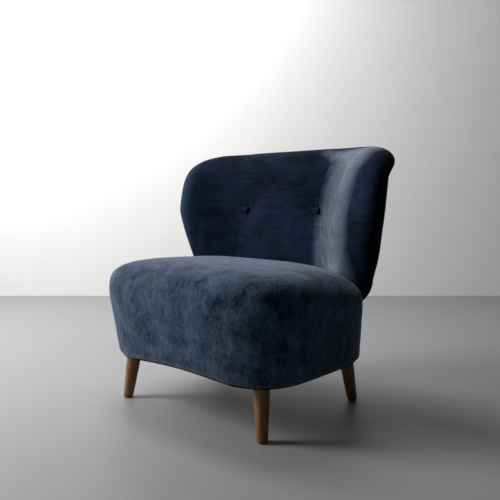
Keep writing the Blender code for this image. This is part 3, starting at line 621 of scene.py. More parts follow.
@dataclass(frozen=True)
class PaintedSheenBand:
    """Painted highlight: a pale upright band inside the right wing, and a lit edge on the left wing.

    A fade is the range over which a border goes from nothing to full. The band's inner
    border follows the rim, a place across the back that moves out with height and is
    drawn back in at the top. Above and below the middle its hairs and its outer border
    swing outwards.
    """

    # Painted highlight: the band's colour and its dimmer share, its raised sheen, its blue fringe, and the
    # lighter colour along the left wing's edge.
    colour: Colour
    highlight_dim_share: float = 0.62
    sheen: float = 1.0
    fringe: Colour = (0.0070, 0.0210, 0.0560)
    fringe_gain: float = 1.6
    fringe_fade: float = 0.35
    rim_highlight: Colour = (0.036, 0.062, 0.104)
    rim_highlight_fade: Range = (-0.345, -0.412)
    upper_z: float = 0.58
    upper_swing: float = 2.0
    lower_z: float = 0.56
    lower_swing: float = 1.3
    hairs: PileLayer = PileLayer((120.0, 120.0, 6.0), 1.0, 5.0, 0.7, 0.5)
    wander: float = 0.06
    rim_z: Range = (0.57, 0.74)
    rim_x: Range = (0.192, 0.224)
    top_z: Range = (0.735, 0.785)
    top_draw: float = -0.065
    inner_fade: Range = (-0.046, 0.040)
    outer_fade: Range = (0.226, 0.300)
    back_slope: float = 0.176
    front_fade: Range = (0.088, 0.106)
    gap_fade: Range = (0.30, 0.66)
    gap_floor: float = 0.64

    def swing(self, shading: Shading) -> bpy.types.NodeSocket:
        """How far the band has swung outwards at a height.

        Args:
            shading: The material's builder.

        Returns:
            The distance along X.
        """
        high = shading.maths("MAXIMUM", shading.maths("SUBTRACT", shading.height, self.upper_z), 0.0)
        low = shading.maths("MAXIMUM", shading.maths("SUBTRACT", self.lower_z, shading.height), 0.0)
        upper = shading.maths("MULTIPLY", shading.maths("POWER", high, 2.0), self.upper_swing)
        return shading.maths("MULTIPLY_ADD", shading.maths("POWER", low, 2.0), self.lower_swing, upper)

    def mask(self, shading: Shading) -> tuple[bpy.types.NodeSocket, bpy.types.NodeSocket]:
        """Find the band and its upright hairs.

        Args:
            shading: The material's builder.

        Returns:
            The band's mask, from 0 to 1, and the noise of its hairs.
        """
        swing = self.swing(shading)
        leant = shading.tree.nodes.new("ShaderNodeCombineXYZ")
        x = shading.maths("SUBTRACT", shading.across, swing)
        for value, socket in zip((x, shading.along, shading.height), leant.inputs):
            shading.join(value, socket)
        hairs = self.hairs.cloud(shading, leant.outputs["Vector"])
        wander = shading.maths("MULTIPLY_ADD", hairs, self.wander, -self.wander / 2)
        across = shading.maths("ADD", shading.across, wander)
        rim = shading.maths("ADD", shading.spread(shading.height, *self.rim_z, *self.rim_x),
                            shading.spread(shading.height, *self.top_z, 0.0, self.top_draw))
        inner = shading.spread(shading.maths("SUBTRACT", across, rim), *self.inner_fade)
        outer = shading.spread(shading.maths("SUBTRACT", across, swing), *self.outer_fade, 1.0, 0.0)
        depth = shading.maths("MULTIPLY_ADD", shading.height, -self.back_slope, shading.along)
        front = shading.spread(depth, *self.front_fade, 1.0, 0.0)
        mask = shading.maths("MULTIPLY", shading.maths("MULTIPLY", inner, outer), front)
        gaps = shading.spread(hairs, *self.gap_fade, self.gap_floor, 1.0)
        return shading.maths("MULTIPLY", mask, gaps), hairs

    def over(self, shading: Shading, colour: bpy.types.NodeSocket, pile: bpy.types.NodeSocket,
             mask: bpy.types.NodeSocket) -> bpy.types.NodeSocket:
        """Lay the painted highlights over the velvet's colour: the left wing's lit edge, the band's fringe
        and the band.

        Args:
            shading: The material's builder.
            colour: The velvet's colour.
            pile: Tone of the nap, from deep to pale.
            mask: The band's mask.

        Returns:
            The whole colour.
        """
        # Painted highlight along the left wing's outer edge.
        edge = shading.spread(shading.across, *self.rim_highlight_fade)
        colour = shading.tint(edge, colour, self.rim_highlight)
        # Painted blue fringe round the painted highlight band.
        halo = shading.spread(mask, 0.0, self.fringe_fade)
        fringe = shading.tint(pile, self.fringe, scaled(self.fringe, self.fringe_gain))
        colour = shading.tint(halo, colour, fringe)
        # Painted highlight band, dimmer where the nap's tone is deep.
        hair = shading.tint(pile, scaled(self.colour, self.highlight_dim_share), self.colour)
        return shading.tint(mask, colour, hair)


@dataclass(frozen=True)
class Velvet:
    """Velvet with a soft sheen; a relief is its depth and strength."""

    name: str
    nap: Nap
    deep: Colour = (0.0030, 0.0105, 0.0270)
    pale: Colour = (0.072, 0.115, 0.190)
    sheen: float = 0.6
    sheen_roughness: float = 0.32
    sheen_tint: Colour = (0.72, 0.80, 1.0)
    roughness: Range = (0.95, 0.78)
    patch_relief: tuple[float, float] = (0.010, 0.55)
    stroke_relief: tuple[float, float] = (0.0016, 0.5)
    thread_relief: tuple[float, float] = (0.0006, 0.6)
    # Painted highlight band laid over the colour, if any.
    band: PaintedSheenBand | None = None

    def build(self) -> bpy.types.Material:
        """Make the material.

        Returns:
            The material.
        """
        shading = Shading(self.name)
        nap = PILES[self.nap]
        patches, strokes, thread = (layer.cloud(shading) for layer in (nap.patches, nap.strokes, nap.thread))
        # The band is a painted highlight: it turns the strokes upright, lays its colour over the velvet and
        # raises the sheen there.
        if self.band is not None:
            painted_sheen_band, hairs = self.band.mask(shading)
            strokes = shading.tint(painted_sheen_band, strokes, hairs)
        mixed = shading.maths("MULTIPLY", patches, nap.patches.weight)
        mixed = shading.maths("MULTIPLY_ADD", strokes, nap.strokes.weight, mixed)
        mixed = shading.maths("MULTIPLY_ADD", thread, nap.thread.weight, mixed)
        pile = shading.spread(mixed, *nap.tone)
        lean = shading.relief(patches, *self.patch_relief)
        brushed = shading.relief(strokes, *self.stroke_relief, lean)
        colour = shading.tint(pile, self.deep, self.pale)
        sheen = self.sheen
        if self.band is not None:
            colour = self.band.over(shading, colour, pile, painted_sheen_band)
            sheen = shading.spread(painted_sheen_band, 0.0, 1.0, self.sheen, self.band.sheen)
        return shading.finish(
            Base_Color=colour,
            Roughness=shading.spread(pile, 0.0, 1.0, *self.roughness),
            Normal=shading.relief(thread, *self.thread_relief, brushed),
            Sheen_Weight=sheen,
            Sheen_Roughness=self.sheen_roughness,
            Sheen_Tint=(*self.sheen_tint, 1.0),
            Specular_IOR_Level=0.08,
        )


@dataclass(frozen=True)
class Timber:
    """Wood with its grain along one axis."""

    name: str
    dark: Colour
    light: Colour
    stretch: Sequence[float] = (1.0, 1.0, 0.07)
    roughness: float = 0.42
    rings: float = 90.0
    pores_per_ring: float = 11.0
    pore_share: float = 0.3

    def build(self) -> bpy.types.Material:
        """Make the material.

        Returns:
            The material.
        """
        shading = Shading(self.name)
        at = shading.stretched(self.stretch)
        figure = shading.cloud(at, self.rings, 5.0, 0.62, 0.9)
        pores = shading.cloud(at, self.rings * self.pores_per_ring, 2.0, 0.5)
        tone = shading.maths("MULTIPLY", figure, 1.0 - self.pore_share)
        tone = shading.maths("MULTIPLY_ADD", pores, self.pore_share, tone)
        grain = shading.spread(tone, 0.36, 0.66)
        shade = shading.tint(grain, self.dark, self.light)
        return shading.finish(
            Base_Color=shade,
            Roughness=shading.spread(pores, 0.3, 0.7, self.roughness - 0.06, self.roughness + 0.10),
            Normal=shading.relief(tone, 0.0004, 0.35),
            Specular_IOR_Level=0.45,
        )


@dataclass(frozen=True)
class Plated:
    """Bright plated steel with fine draw marks."""

    name: str
    colour: Colour = (0.52, 0.53, 0.55)
    roughness: float = 0.34

    def build(self) -> bpy.types.Material:
        """Make the material.

        Returns:
            The material.
        """
        shading = Shading(self.name)
        marks = shading.cloud(shading.stretched((60.0, 900.0, 900.0)), 1.0, 3.0)
        return shading.finish(
            Base_Color=shading.tint(marks, self.colour, scaled(self.colour, 0.8)),
            Roughness=shading.spread(marks, 0.3, 0.7, self.roughness - 0.05, self.roughness + 0.12),
            Metallic=1.0,
            Normal=shading.relief(marks, 0.0001, 0.4),
        )


@dataclass(frozen=True)
class Moulded:
    """Moulded plastic with a fine even texture."""

    name: str
    colour: Colour = (0.030, 0.030, 0.032)
    grain: float = 1400.0

    def build(self) -> bpy.types.Material:
        """Make the material.

        Returns:
            The material.
        """
        shading = Shading(self.name)
        texture = shading.cloud(shading.place, self.grain, 2.0)
        return shading.finish(
            Base_Color=shading.tint(texture, self.colour, scaled(self.colour, 1.5)),
            Roughness=shading.spread(texture, 0.3, 0.7, 0.42, 0.58),
            Normal=shading.relief(texture, 0.0001, 0.5),
        )


@dataclass(frozen=True)
class Woven:
    """Plain woven or felted cloth; a higher count is a finer weave."""

    name: str
    colour: Colour
    count: float = 900.0
    relief: float = 0.0004
    waver: float = 0.6

    def build(self) -> bpy.types.Material:
        """Make the material.

        Returns:
            The material.
        """
        shading = Shading(self.name)
        warp, weft = (shading.wave(shading.place, self.count / math.tau, self.waver, axis) for axis in "XY")
        weave = shading.maths("MULTIPLY", warp, weft)
        fuzz = shading.cloud(shading.place, self.count * 0.8, 3.0)
        cloth = shading.maths("MULTIPLY_ADD", fuzz, 0.5, shading.maths("MULTIPLY", weave, 0.5))
        return shading.finish(
            Base_Color=shading.tint(cloth, scaled(self.colour, 0.6), scaled(self.colour, 1.4)),
            Roughness=shading.spread(fuzz, 0.3, 0.7, 0.86, 0.98),
            Normal=shading.relief(cloth, self.relief, 0.6),
            Specular_IOR_Level=0.2,
        )


@dataclass(frozen=True)
class Foam:
    """Cut upholstery foam with open cells."""

    name: str
    colour: Colour = (0.78, 0.72, 0.56)
    fineness: float = 700.0

    def build(self) -> bpy.types.Material:
        """Make the material.

        Returns:
            The material.
        """
        shading = Shading(self.name)
        cells = shading.tree.nodes.new("ShaderNodeTexVoronoi")
        shading.join(shading.place, cells.inputs["Vector"])
        cells.inputs["Scale"].default_value = self.fineness
        depth = cells.outputs["Distance"]
        return shading.finish(
            Base_Color=shading.tint(depth, scaled(self.colour, 0.7), self.colour),
            Roughness=shading.spread(depth, 0.0, 0.7, 0.90, 0.98),
            Normal=shading.relief(depth, 0.0005, 0.6),
        )


@dataclass(frozen=True)
class SeatForm:
    """Outer form of the seat block."""

    half_width: float
    front: float
    rear: float
    base_z: float
    crown_z: float
    base_draw: float = 0.027
    front_draw: float = 0.025
    rear_draw: float = 0.020
    widest_z: float = 0.332
    front_squareness: float = 4.45
    front_top_squareness: float = 4.3
    rear_squareness: float = 3.9
    rear_top_squareness: float = 3.8
    edge_squareness: float = 3.1
    edge_change: float = 1.2
    arch: float = 0.012
    arch_half_width: float = 0.213
    arch_front_share: float = 0.6
    hem_radius: float = 0.008
    under_inset: float = 0.03
    under_share: float = 0.6
    quarter: int = 44
    hem_steps: int = 4
    wall_steps: int = 14
    dome_steps: int = 26

    def outline(self, level: float, inset: float) -> Ring:
        """Plan outline at a level of the wall.

        Args:
            level: 0 at the base, 1 at the widest.
            inset: How far it is drawn in.

        Returns:
            Flat points from front centre round by +X.
        """
        width = self.half_width - self.base_draw * (1.0 - level) - inset
        front = self.front + self.front_draw * (1.0 - level) + inset
        rear = self.rear - self.rear_draw * level - inset
        middle = (front + rear) / 2
        depth = (rear - front) / 2
        fore = self.front_squareness + (self.front_top_squareness - self.front_squareness) * level
        aft = self.rear_squareness + (self.rear_top_squareness - self.rear_squareness) * level
        fore_run = quarter_points(width, depth, fore, self.quarter)
        aft_run = quarter_points(width, depth, aft, self.quarter)
        half = [Vector((p.x, middle - p.y)) for p in fore_run]
        half += [Vector((p.x, middle + p.y)) for p in reversed(aft_run[:-1])]
        return mirrored(half)

    def rise(self, x: float, y: float) -> float:
        """Rise of the lower edge under the front, at a place in plan."""
        across = max(0.0, 1.0 - (x / self.arch_half_width) ** 2)
        return self.arch * across if y < self.front * self.arch_front_share else 0.0

    def ring(self, level: float, inset: float, lift: float = 0.0) -> Ring:
        """Ring of the wall at a level, drawn in and lifted.

        Args:
            level: 0 at the base, 1 at the widest.
            inset: How far it is drawn in.
            lift: How far it is raised.

        Returns:
            Its points.
        """
        height = self.base_z + (self.widest_z - self.base_z) * level + lift
        fade = 1.0 - level
        return [Vector((p.x, p.y, height + self.rise(p.x, p.y) * fade)) for p in self.outline(level, inset)]

    def rings(self, inset: float) -> list[Ring]:
        """Rings of the whole closed form, from the middle of its underside to its crown.

        Args:
            inset: How far the form is drawn in all over.

        Returns:
            The rings.
        """
        middle = (self.front + self.rear) / 2
        floor = self.base_z + inset
        under = self.ring(0.0, inset + self.under_inset, inset)
        share = self.under_share
        inner = [Vector((p.x * share, middle + (p.y - middle) * share, floor)) for p in under]
        rings = [[Vector((0.0, middle, floor))], inner, under]
        for k in range(self.hem_steps + 1):
            angle = math.pi / 2 * k / self.hem_steps
            draw = self.hem_radius * (1.0 - math.sin(angle))
            lift = self.hem_radius * (1.0 - math.cos(angle))
            rings.append(self.ring(0.0, inset + draw, inset + lift))
        rings += [self.ring(k / self.wall_steps, inset) for k in range(1, self.wall_steps + 1)]
        widest = rings[-1]
        centre = (self.front + self.rear - self.rear_draw) / 2
        depth = (self.rear - self.rear_draw - self.front) / 2
        rise = self.crown_z - inset - self.widest_z
        for k in range(1, self.dome_steps):
            angle = math.pi / 2 * k / self.dome_steps
            ring = []
            for p in widest:
                squareness = self.edge_squareness - self.edge_change * (p.y - centre) / depth
                shrink = math.cos(angle) ** (2 / squareness)
                height = self.widest_z + rise * math.sin(angle) ** (2 / squareness)
                ring.append(Vector((p.x * shrink, centre + (p.y - centre) * shrink, height)))
            rings.append(ring)
        rings.append([Vector((0.0, centre, self.widest_z + rise))])
        return rings


@dataclass(frozen=True)
class BackForm:
    """Outer form of the wrapped back."""

    middle_y: float
    top_z: float
    bottom_z: float
    flat: float = 0.252
    shoulder: float = 0.130
    wing_angle: float = math.radians(58.0)
    lean: float = math.radians(10.0)
    widest_z: float = 0.588
    reach: float = 0.457
    foot_reach: float = 0.3315
    taper: float = 1.18
    squareness: float = 4.5
    ear: float = 0.008
    ear_start: float = 0.40
    ear_full: float = 0.80
    dip: float = 0.0015
    foot_radius: float = 0.075
    thickness: float = 0.092
    roll: float = 0.036
    wing_roll: float = 0.080
    inner_radius: float = 0.260
    border: float = 0.058
    recess: float = 0.013
    bulge: float = 0.004
    bulge_low_z: float = 0.680
    bulge_full_z: float = 0.740
    crown: float = 0.006
    button_spacing: float = 0.148
    seam_depth: float = 0.008
    tuft_depth: float = 0.013
    tuft_radius: float = 0.045
    quarter: int = 40
    lower_steps: int = 40
    roll_steps: int = 9
    face_steps: int = 26
    floor_steps: int = 12

    def plan(self, s: float) -> tuple[float, float, float]:
        """Plan curve: flat middle, round shoulders, straight wings.

        Args:
            s: Distance along the curve from its middle.

        Returns:
            x, y and heading.
        """
        side = math.copysign(1.0, s)
        run = abs(s)
        turn = self.shoulder * self.wing_angle
        heading = min(max(0.0, run - self.flat), turn) / self.shoulder
        straight = max(0.0, run - self.flat - turn)
        x = min(run, self.flat) + self.shoulder * math.sin(heading) + straight * math.cos(heading)
        y = -self.shoulder * (1.0 - math.cos(heading)) - straight * math.sin(heading)
        return side * x, y, side * heading

    def point(self, s: float, z: float, offset: float) -> Vector:
        """Place on the back: along its plan, its height, and its distance in front of the middle.

        Args:
            s: Distance along the plan curve from its middle.
            z: Height.
            offset: Distance in front of the middle of the padding; negative is behind.

        Returns:
            The place.
        """
        x, y, heading = self.plan(s)
        y += self.middle_y + math.tan(self.lean) * (z - self.widest_z)
        return Vector((x - offset * math.sin(heading), y - offset * math.cos(heading), z))

    def wing_edge(self, z: float) -> float:
        """Reach of the wing at a height below its widest level."""
        drop = (self.widest_z - z) / (self.widest_z - self.bottom_z)
        return self.reach - (self.reach - self.foot_reach) * drop ** self.taper

    def outline(self) -> Ring:
        """Outline in (along, height), from top centre round by +X.

        Returns:
            Flat points.
        """
        rise = self.top_z - self.widest_z
        upper = []
        for p in quarter_points(self.reach, rise, self.squareness, self.quarter):
            lift = self.ear * eased(p.x / self.reach, self.ear_start, self.ear_full) - self.dip
            upper.append(Vector((p.x, self.widest_z + p.y + lift * p.y / rise)))
        corner_z = self.bottom_z + self.foot_radius
        lower = []
        for k in range(self.lower_steps + 1):
            z = self.widest_z + (corner_z - self.widest_z) * k / self.lower_steps
            lower.append(Vector((self.wing_edge(z), z)))
        centre = Vector((self.wing_edge(corner_z) - self.foot_radius, corner_z))
        for k in range(1, self.lower_steps + 1):
            angle = math.pi / 2 * k / self.lower_steps
            lower.append(centre + self.foot_radius * Vector((math.cos(angle), -math.sin(angle))))
        lower.append(Vector((0.0, self.bottom_z)))
        return mirrored(upper + evenly(lower, self.quarter)[1:])

    def tuft(self, s: float, z: float) -> float:
        """Depth that the buttons draw the front in at a place.

        Args:
            s: Distance along the plan curve from its middle.
            z: Height.

        Returns:
            The depth.
        """
        depth = 0.0
        for x in (-self.button_spacing, self.button_spacing):
            away = Vector((s - x, z - self.widest_z)).length
            depth += self.tuft_depth * math.exp(-(away / self.tuft_radius) ** 2)
        return depth

    def padding(self, s: float) -> float:
        """Extra padding that rounds the inner bend to a wider curve.

        Args:
            s: Distance along the plan curve from its middle.

        Returns:
            How much deeper the padding is there.
        """
        half = self.wing_angle / 2
        tight = self.shoulder - self.thickness / 2
        grown = self.inner_radius - tight
        turn = self.shoulder * self.wing_angle
        run = abs(s)
        past = max(self.flat - run, run - self.flat - turn)
        if past > 0.0:
            reach = max(0.0, grown * math.tan(half) - past)
            return self.inner_radius - math.sqrt(self.inner_radius ** 2 - reach ** 2)
        skew = (run - self.flat) / self.shoulder - half
        centre = grown / math.cos(half)
        left = math.sqrt(self.inner_radius ** 2 - (centre * math.sin(skew)) ** 2)
        return tight + centre * math.cos(skew) - left

    def nose(self, s: float, edge: float) -> float:
        """Depth of the rolled front at a distance from the outline; the roll is wider on the wings.

        Args:
            s: Distance along the plan curve from its middle.
            edge: Distance from the outline.

        Returns:
            Distance in front of the middle.
        """
        share = eased(abs(s), self.button_spacing, self.flat)
        width = self.roll + (self.wing_roll - self.roll) * share
        left = 1.0 - min(1.0, max(0.0, edge / width))
        return (self.thickness / 2 + self.padding(s)) * math.sqrt(1.0 - left * left)

    def face(self, s: float, z: float, inset: float, edge: float = 1.0) -> float:
        """Distance of the front face in front of the middle, at a distance from the outline.

        Args:
            s: Distance along the plan curve from its middle.
            z: Height.
            inset: How far the form is drawn in all over.
            edge: Distance from the outline.

        Returns:
            The distance.
        """
        reach = Vector((s / self.reach, (z - self.widest_z) / (self.top_z - self.widest_z)))
        crown = self.crown * max(0.0, 1.0 - reach.length_squared)
        return self.nose(s, edge) + crown - self.tuft(s, z) - inset

    def rear_depth(self, z: float) -> float:
        """Depth of the rear border: full at the top roll, flush with the outside panel below it."""
        share = eased(z, self.bulge_low_z, self.bulge_full_z)
        return self.thickness / 2 - self.recess + (self.recess + self.bulge) * share

    def roll_rings(self, inset: float, side: float) -> list[Ring]:
        """Rings round the rolled edge.

        Args:
            inset: How far the form is drawn in all over.
            side: -1 behind and 1 in front.

        Returns:
            The rings, from the outline inwards.
        """
        outline = inset_outline(self.outline(), inset)
        rings = []
        for k in range(1, self.roll_steps):
            angle = math.pi / 2 * k / (self.roll_steps - 1)
            ring = []
            edge = self.roll * (1.0 - math.cos(angle))
            for p in inset_outline(outline, edge):
                if side < 0.0:
                    depth = -(self.rear_depth(p.y) - inset) * math.sin(angle)
                else:
                    depth = self.nose(p.x, edge) - inset * math.sin(angle)
                ring.append(self.point(p.x, p.y, depth))
            rings.append(ring)
        return rings

    def front_rings(self, inset: float) -> list[Ring]:
        """Rings of the front, from the rolled edge to its middle.

        Args:
            inset: How far the form is drawn in all over.

        Returns:
            The rings.
        """
        rim = inset_outline(self.outline(), inset)
        outline = inset_outline(rim, self.roll)
        centre = Vector((0.0, self.widest_z))
        rings = []
        for k in range(self.face_steps - 1, 0, -1):
            ring = []
            for p in outline:
                q = centre.lerp(p, k / self.face_steps)
                edge = min((q - mark).length for mark in rim)
                ring.append(self.point(q.x, q.y, self.face(q.x, q.y, inset, edge)))
            rings.append(ring)
        rings.append([self.point(0.0, self.widest_z, self.face(0.0, self.widest_z, inset))])
        return rings

    def floor_rings(self, outline: Sequence[Vector], offset: float) -> list[Ring]:
        """Rings over a flat layer of the back, from an outline to its middle.

        Args:
            outline: The outline in (along, height).
            offset: Distance of the layer in front of the middle.

        Returns:
            The rings.
        """
        centre = Vector((0.0, self.widest_z))
        rings = []
        for k in range(self.floor_steps, 0, -1):
            rings.append([self.point(*centre.lerp(p, k / self.floor_steps), offset) for p in outline])
        rings.append([self.point(*centre, offset)])
        return rings

    def rings(self, inset: float) -> list[Ring]:
        """Rings of the closed form, from the floor of its rear recess round to its front.

        Args:
            inset: How far the form is drawn in all over.

        Returns:
            The rings.
        """
        rim = inset_outline(self.outline(), self.border - inset)
        edge = [self.point(p.x, p.y, 0.0) for p in inset_outline(self.outline(), inset)]
        floor = self.recess + self.seam_depth - self.thickness / 2
        rings = list(reversed(self.floor_rings(rim, floor)))
        rings.append([self.point(p.x, p.y, inset - self.rear_depth(p.y)) for p in rim])
        rings += reversed(self.roll_rings(inset, -1.0))
        rings.append(edge)
        return rings + self.roll_rings(inset, 1.0) + self.front_rings(inset)

    def envelope(self, clearance: float, behind: float) -> list[Ring]:
        """Rings of the space that the back fills, and of what lies behind it.

        Args:
            clearance: Gap that it keeps round the back.
            behind: How far it goes on behind the back.

        Returns:
            The rings.
        """
        outline = inset_outline(self.outline(), -clearance)
        rings = list(reversed(self.floor_rings(outline, -self.thickness / 2 - behind)))
        rings.append([self.point(p.x, p.y, 0.0) for p in outline])
        return rings + self.roll_rings(-clearance, 1.0) + self.front_rings(-clearance)


@dataclass(frozen=True)
class Swell:
    """Slight unevenness of cloth over foam; the seed is a place in the noise."""

    depth: float
    size: float
    seed: float

    def press(self, obj: bpy.types.Object) -> None:
        """Move a skin in and out a little.

        Args:
            obj: The skin.
        """
        offset = Vector((self.seed, self.seed * 1.7, self.seed * 0.6))
        normals = [vertex.normal.copy() for vertex in obj.data.vertices]
        for vertex, normal in zip(obj.data.vertices, normals):
            vertex.co += normal * self.depth * noise.noise(vertex.co / self.size + offset)
        obj.data.update()


@dataclass
class Seat:
    """Padded seat block in one cover."""

    form: SeatForm
    back: BackForm
    velvet: bpy.types.Material
    slack: float = 0.0015
    cell: float = 0.0079
    relax_rounds: int = 3
    notch_gap: float = 0.0035
    behind: float = 0.060
    pressure: float = 5.0
    held_height: float = 0.030
    swell: Swell = Swell(0.0007, 0.050, 11.0)

    def held(self, point: Vector) -> float:
        """How firmly the cover is held: fully along the base, where it is stapled."""
        above = point.z - self.form.base_z
        return max(0.0, 1.0 - above / self.held_height)

    def build(self) -> bpy.types.Object:
        """Make the seat's padded piece.

        Returns:
            The piece.
        """
        piece = loft("seat_upholstery", self.form.rings(self.slack))
        carve(piece, loft("back_space", self.back.envelope(self.notch_gap, self.behind)))
        remesh(piece, self.cell)
        relax(piece, self.relax_rounds)
        SheetFill(self.pressure, cap=self.slack).blow(piece, self.held)
        self.swell.press(piece)
        subdivide(piece)
        smooth(piece.data, 180.0)
        paint(piece, self.velvet)
        keep(piece, "velvet", "seat_cover", "seat_foam")
        return piece


@dataclass
class Back:
    """Padded back in one cover, drawn in where its two buttons are sewn."""

    form: BackForm
    velvet: bpy.types.Material
    slack: float = 0.0012
    cell: float = 0.007
    relax_rounds: int = 2
    pressure: float = 4.0
    held_radius: float = 0.012
    held_fade: float = 0.010
    held_height: float = 0.020
    swell: Swell = Swell(0.0006, 0.060, 31.0)
    pleat: float = 0.00055
    pleat_reach: float = 0.075
    pleat_middle: float = 0.024
    pleat_fade: float = 0.020

    def button_place(self, side: float) -> Vector:
        """Deepest point of a tuft, on the cover."""
        s = side * self.form.button_spacing
        return self.form.point(s, self.form.widest_z, self.form.face(s, self.form.widest_z, 0.0))

    def held(self, point: Vector) -> float:
        """How firmly the cover is held: round the buttons and along its lower edge.

        Args:
            point: A point of the cover.

        Returns:
            Its grip, from 0 to 1.
        """
        grip = 0.0
        for side in (-1.0, 1.0):
            away = (point - self.button_place(side)).length
            grip = max(grip, 1.0 - (away - self.held_radius) / self.held_fade)
        if point.z < self.form.bottom_z + self.held_height:
            grip = 1.0
        return max(0.0, grip)

    def pleats(self, obj: bpy.types.Object) -> None:
        """Press short folds that run out from each button.

        Args:
            obj: The cover.
        """
        normals = [vertex.normal.copy() for vertex in obj.data.vertices]
        for side in (-1.0, 1.0):
            centre = self.button_place(side)
            for vertex, normal in zip(obj.data.vertices, normals):
                away = vertex.co - centre
                far = away.length
                if far > self.pleat_reach or normal.y > 0.0:
                    continue
                angle = math.atan2(away.z, away.x)
                folds = math.sin(5.0 * angle + side) + 0.6 * math.sin(8.0 * angle + 2.0)
                fade = math.exp(-((far - self.pleat_middle) / self.pleat_fade) ** 2)
                vertex.co += normal * (self.pleat * folds * fade)
        obj.data.update()

    def build(self) -> bpy.types.Object:
        """Make the back's padded piece.

        Returns:
            The piece.
        """
        piece = loft("back_upholstery", self.form.rings(self.slack))
        remesh(piece, self.cell)
        relax(piece, self.relax_rounds)
        SheetFill(self.pressure, cap=self.slack).blow(piece, self.held)
        self.swell.press(piece)
        subdivide(piece)
        self.pleats(piece)
        smooth(piece.data, 180.0)
        paint(piece, self.velvet)
        keep(piece, "velvet", "back_cover", "back_foam")
        return piece


@dataclass
class OutsidePanel:
    """Velvet-covered panel set into the rear of the back, with its blind stitches."""

    form: BackForm
    velvet: bpy.types.Material
    thread: bpy.types.Material
    clearance: float = 0.0020
    thickness: float = 0.0040
    edge: float = 0.0015
    edge_turn: float = 0.3
    bulge: float = 0.0020
    swell: Swell = Swell(0.0005, 0.070, 53.0)
    stitch_share: float = 0.4
    stitch_sink: float = 0.0004
    steps: int = 30

    def layer(self, outline: Sequence[Vector], offset: float, bulge: float) -> list[Ring]:
        """Rings over one face of the panel, from its edge to its middle.

        Args:
            outline: The edge in (along, height).
            offset: Distance of the face in front of the padding's middle.
            bulge: How far its middle stands out behind.

        Returns:
            The rings.
        """
        centre = Vector((0.0, self.form.widest_z))
        rings = []
        for k in range(self.steps, 0, -1):
            share = k / self.steps
            depth = offset - bulge * (1.0 - share ** 4)
            rings.append([self.form.point(*centre.lerp(p, share), depth) for p in outline])
        rings.append([self.form.point(*centre, offset - bulge)])
        return rings

    def build(self) -> bpy.types.Object:
        """Make the panel's piece.

        Returns:
            The piece.
        """
        rear = -self.form.thickness / 2 + self.form.recess
        outer = inset_outline(self.form.outline(), self.form.border + self.clearance)
        drawn = inset_outline(outer, self.edge)
        turn = self.edge * self.edge_turn
        turned = inset_outline(outer, turn)
        rings = list(reversed(self.layer(drawn, rear, self.bulge)))
        for outline, depth in ((turned, turn), (outer, self.edge), (outer, self.thickness)):
            rings.append([self.form.point(*p, rear + depth) for p in outline])
        rings += self.layer(drawn, rear + self.thickness, 0.0)
        piece = loft("outside_back", rings)
        self.swell.press(piece)
        smooth(piece.data, 60.0)
        paint(piece, self.velvet)
        keep(piece, "velvet", "outside_back_panel")
        self.stitch(rear)
        return piece

    def stitch(self, rear: float) -> None:
        """Sew the panel's edge to the border with small slanted stitches.

        Args:
            rear: Distance of the panel's rear face in front of the padding's middle.
        """
        line = inset_outline(self.form.outline(), self.form.border + self.clearance * self.stitch_share)
        path = [self.form.point(*p, rear + self.stitch_sink) for p in line]
        outward = [self.form.point(*p, rear - 1.0) - self.form.point(*p, rear) for p in line]
        row = EdgeRow(path, outward, Pitch.STITCH, self.thread)
        keep(row.build("outside_back_stitches", stitch_mesh()), "twine")


def stitch_mesh() -> bpy.types.Mesh:
    """One slanted stitch of thread, 5 mm long, as a thin six-sided spindle.

    Returns:
        The mesh, its length along X.
    """
    half, shoulder = 0.0025, 0.0014
    tip, girth = (0.0001, -0.0004), (0.00038, 0.0001)
    slant = 0.35
    sides = 6
    turns = [math.tau * k / sides for k in range(sides)]
    builder = bmesh.new()
    rows = []
    for x, (radius, height) in ((-half, tip), (-shoulder, girth), (shoulder, girth), (half, tip)):
        rows.append([builder.verts.new((x, x * slant + radius * math.cos(turn),
                                        height + radius * math.sin(turn))) for turn in turns])
    for near, far in zip(rows, rows[1:]):
        for k in range(sides):
            builder.faces.new((near[k], near[k - 1], far[k - 1], far[k]))
    builder.faces.new(rows[0])
    builder.faces.new(rows[-1])
    bmesh.ops.recalc_face_normals(builder, faces=builder.faces)
    mesh = mesh_from(builder, "stitch")
    smooth(mesh)
    return mesh


def staple_mesh() -> bpy.types.Mesh:
    """Crown of one wire staple, 10 mm long.

    Returns:
        The mesh, its length along X.
    """
    length, width, height, edge = 0.010, 0.0011, 0.0005, 0.00015
    builder = bmesh.new()
    bmesh.ops.create_cube(builder, size=1.0)
    bmesh.ops.scale(builder, vec=(length, width, height), verts=builder.verts)
    bmesh.ops.bevel(builder, geom=builder.edges, offset=edge, segments=1, affect="EDGES")
    return mesh_from(builder, "staple")


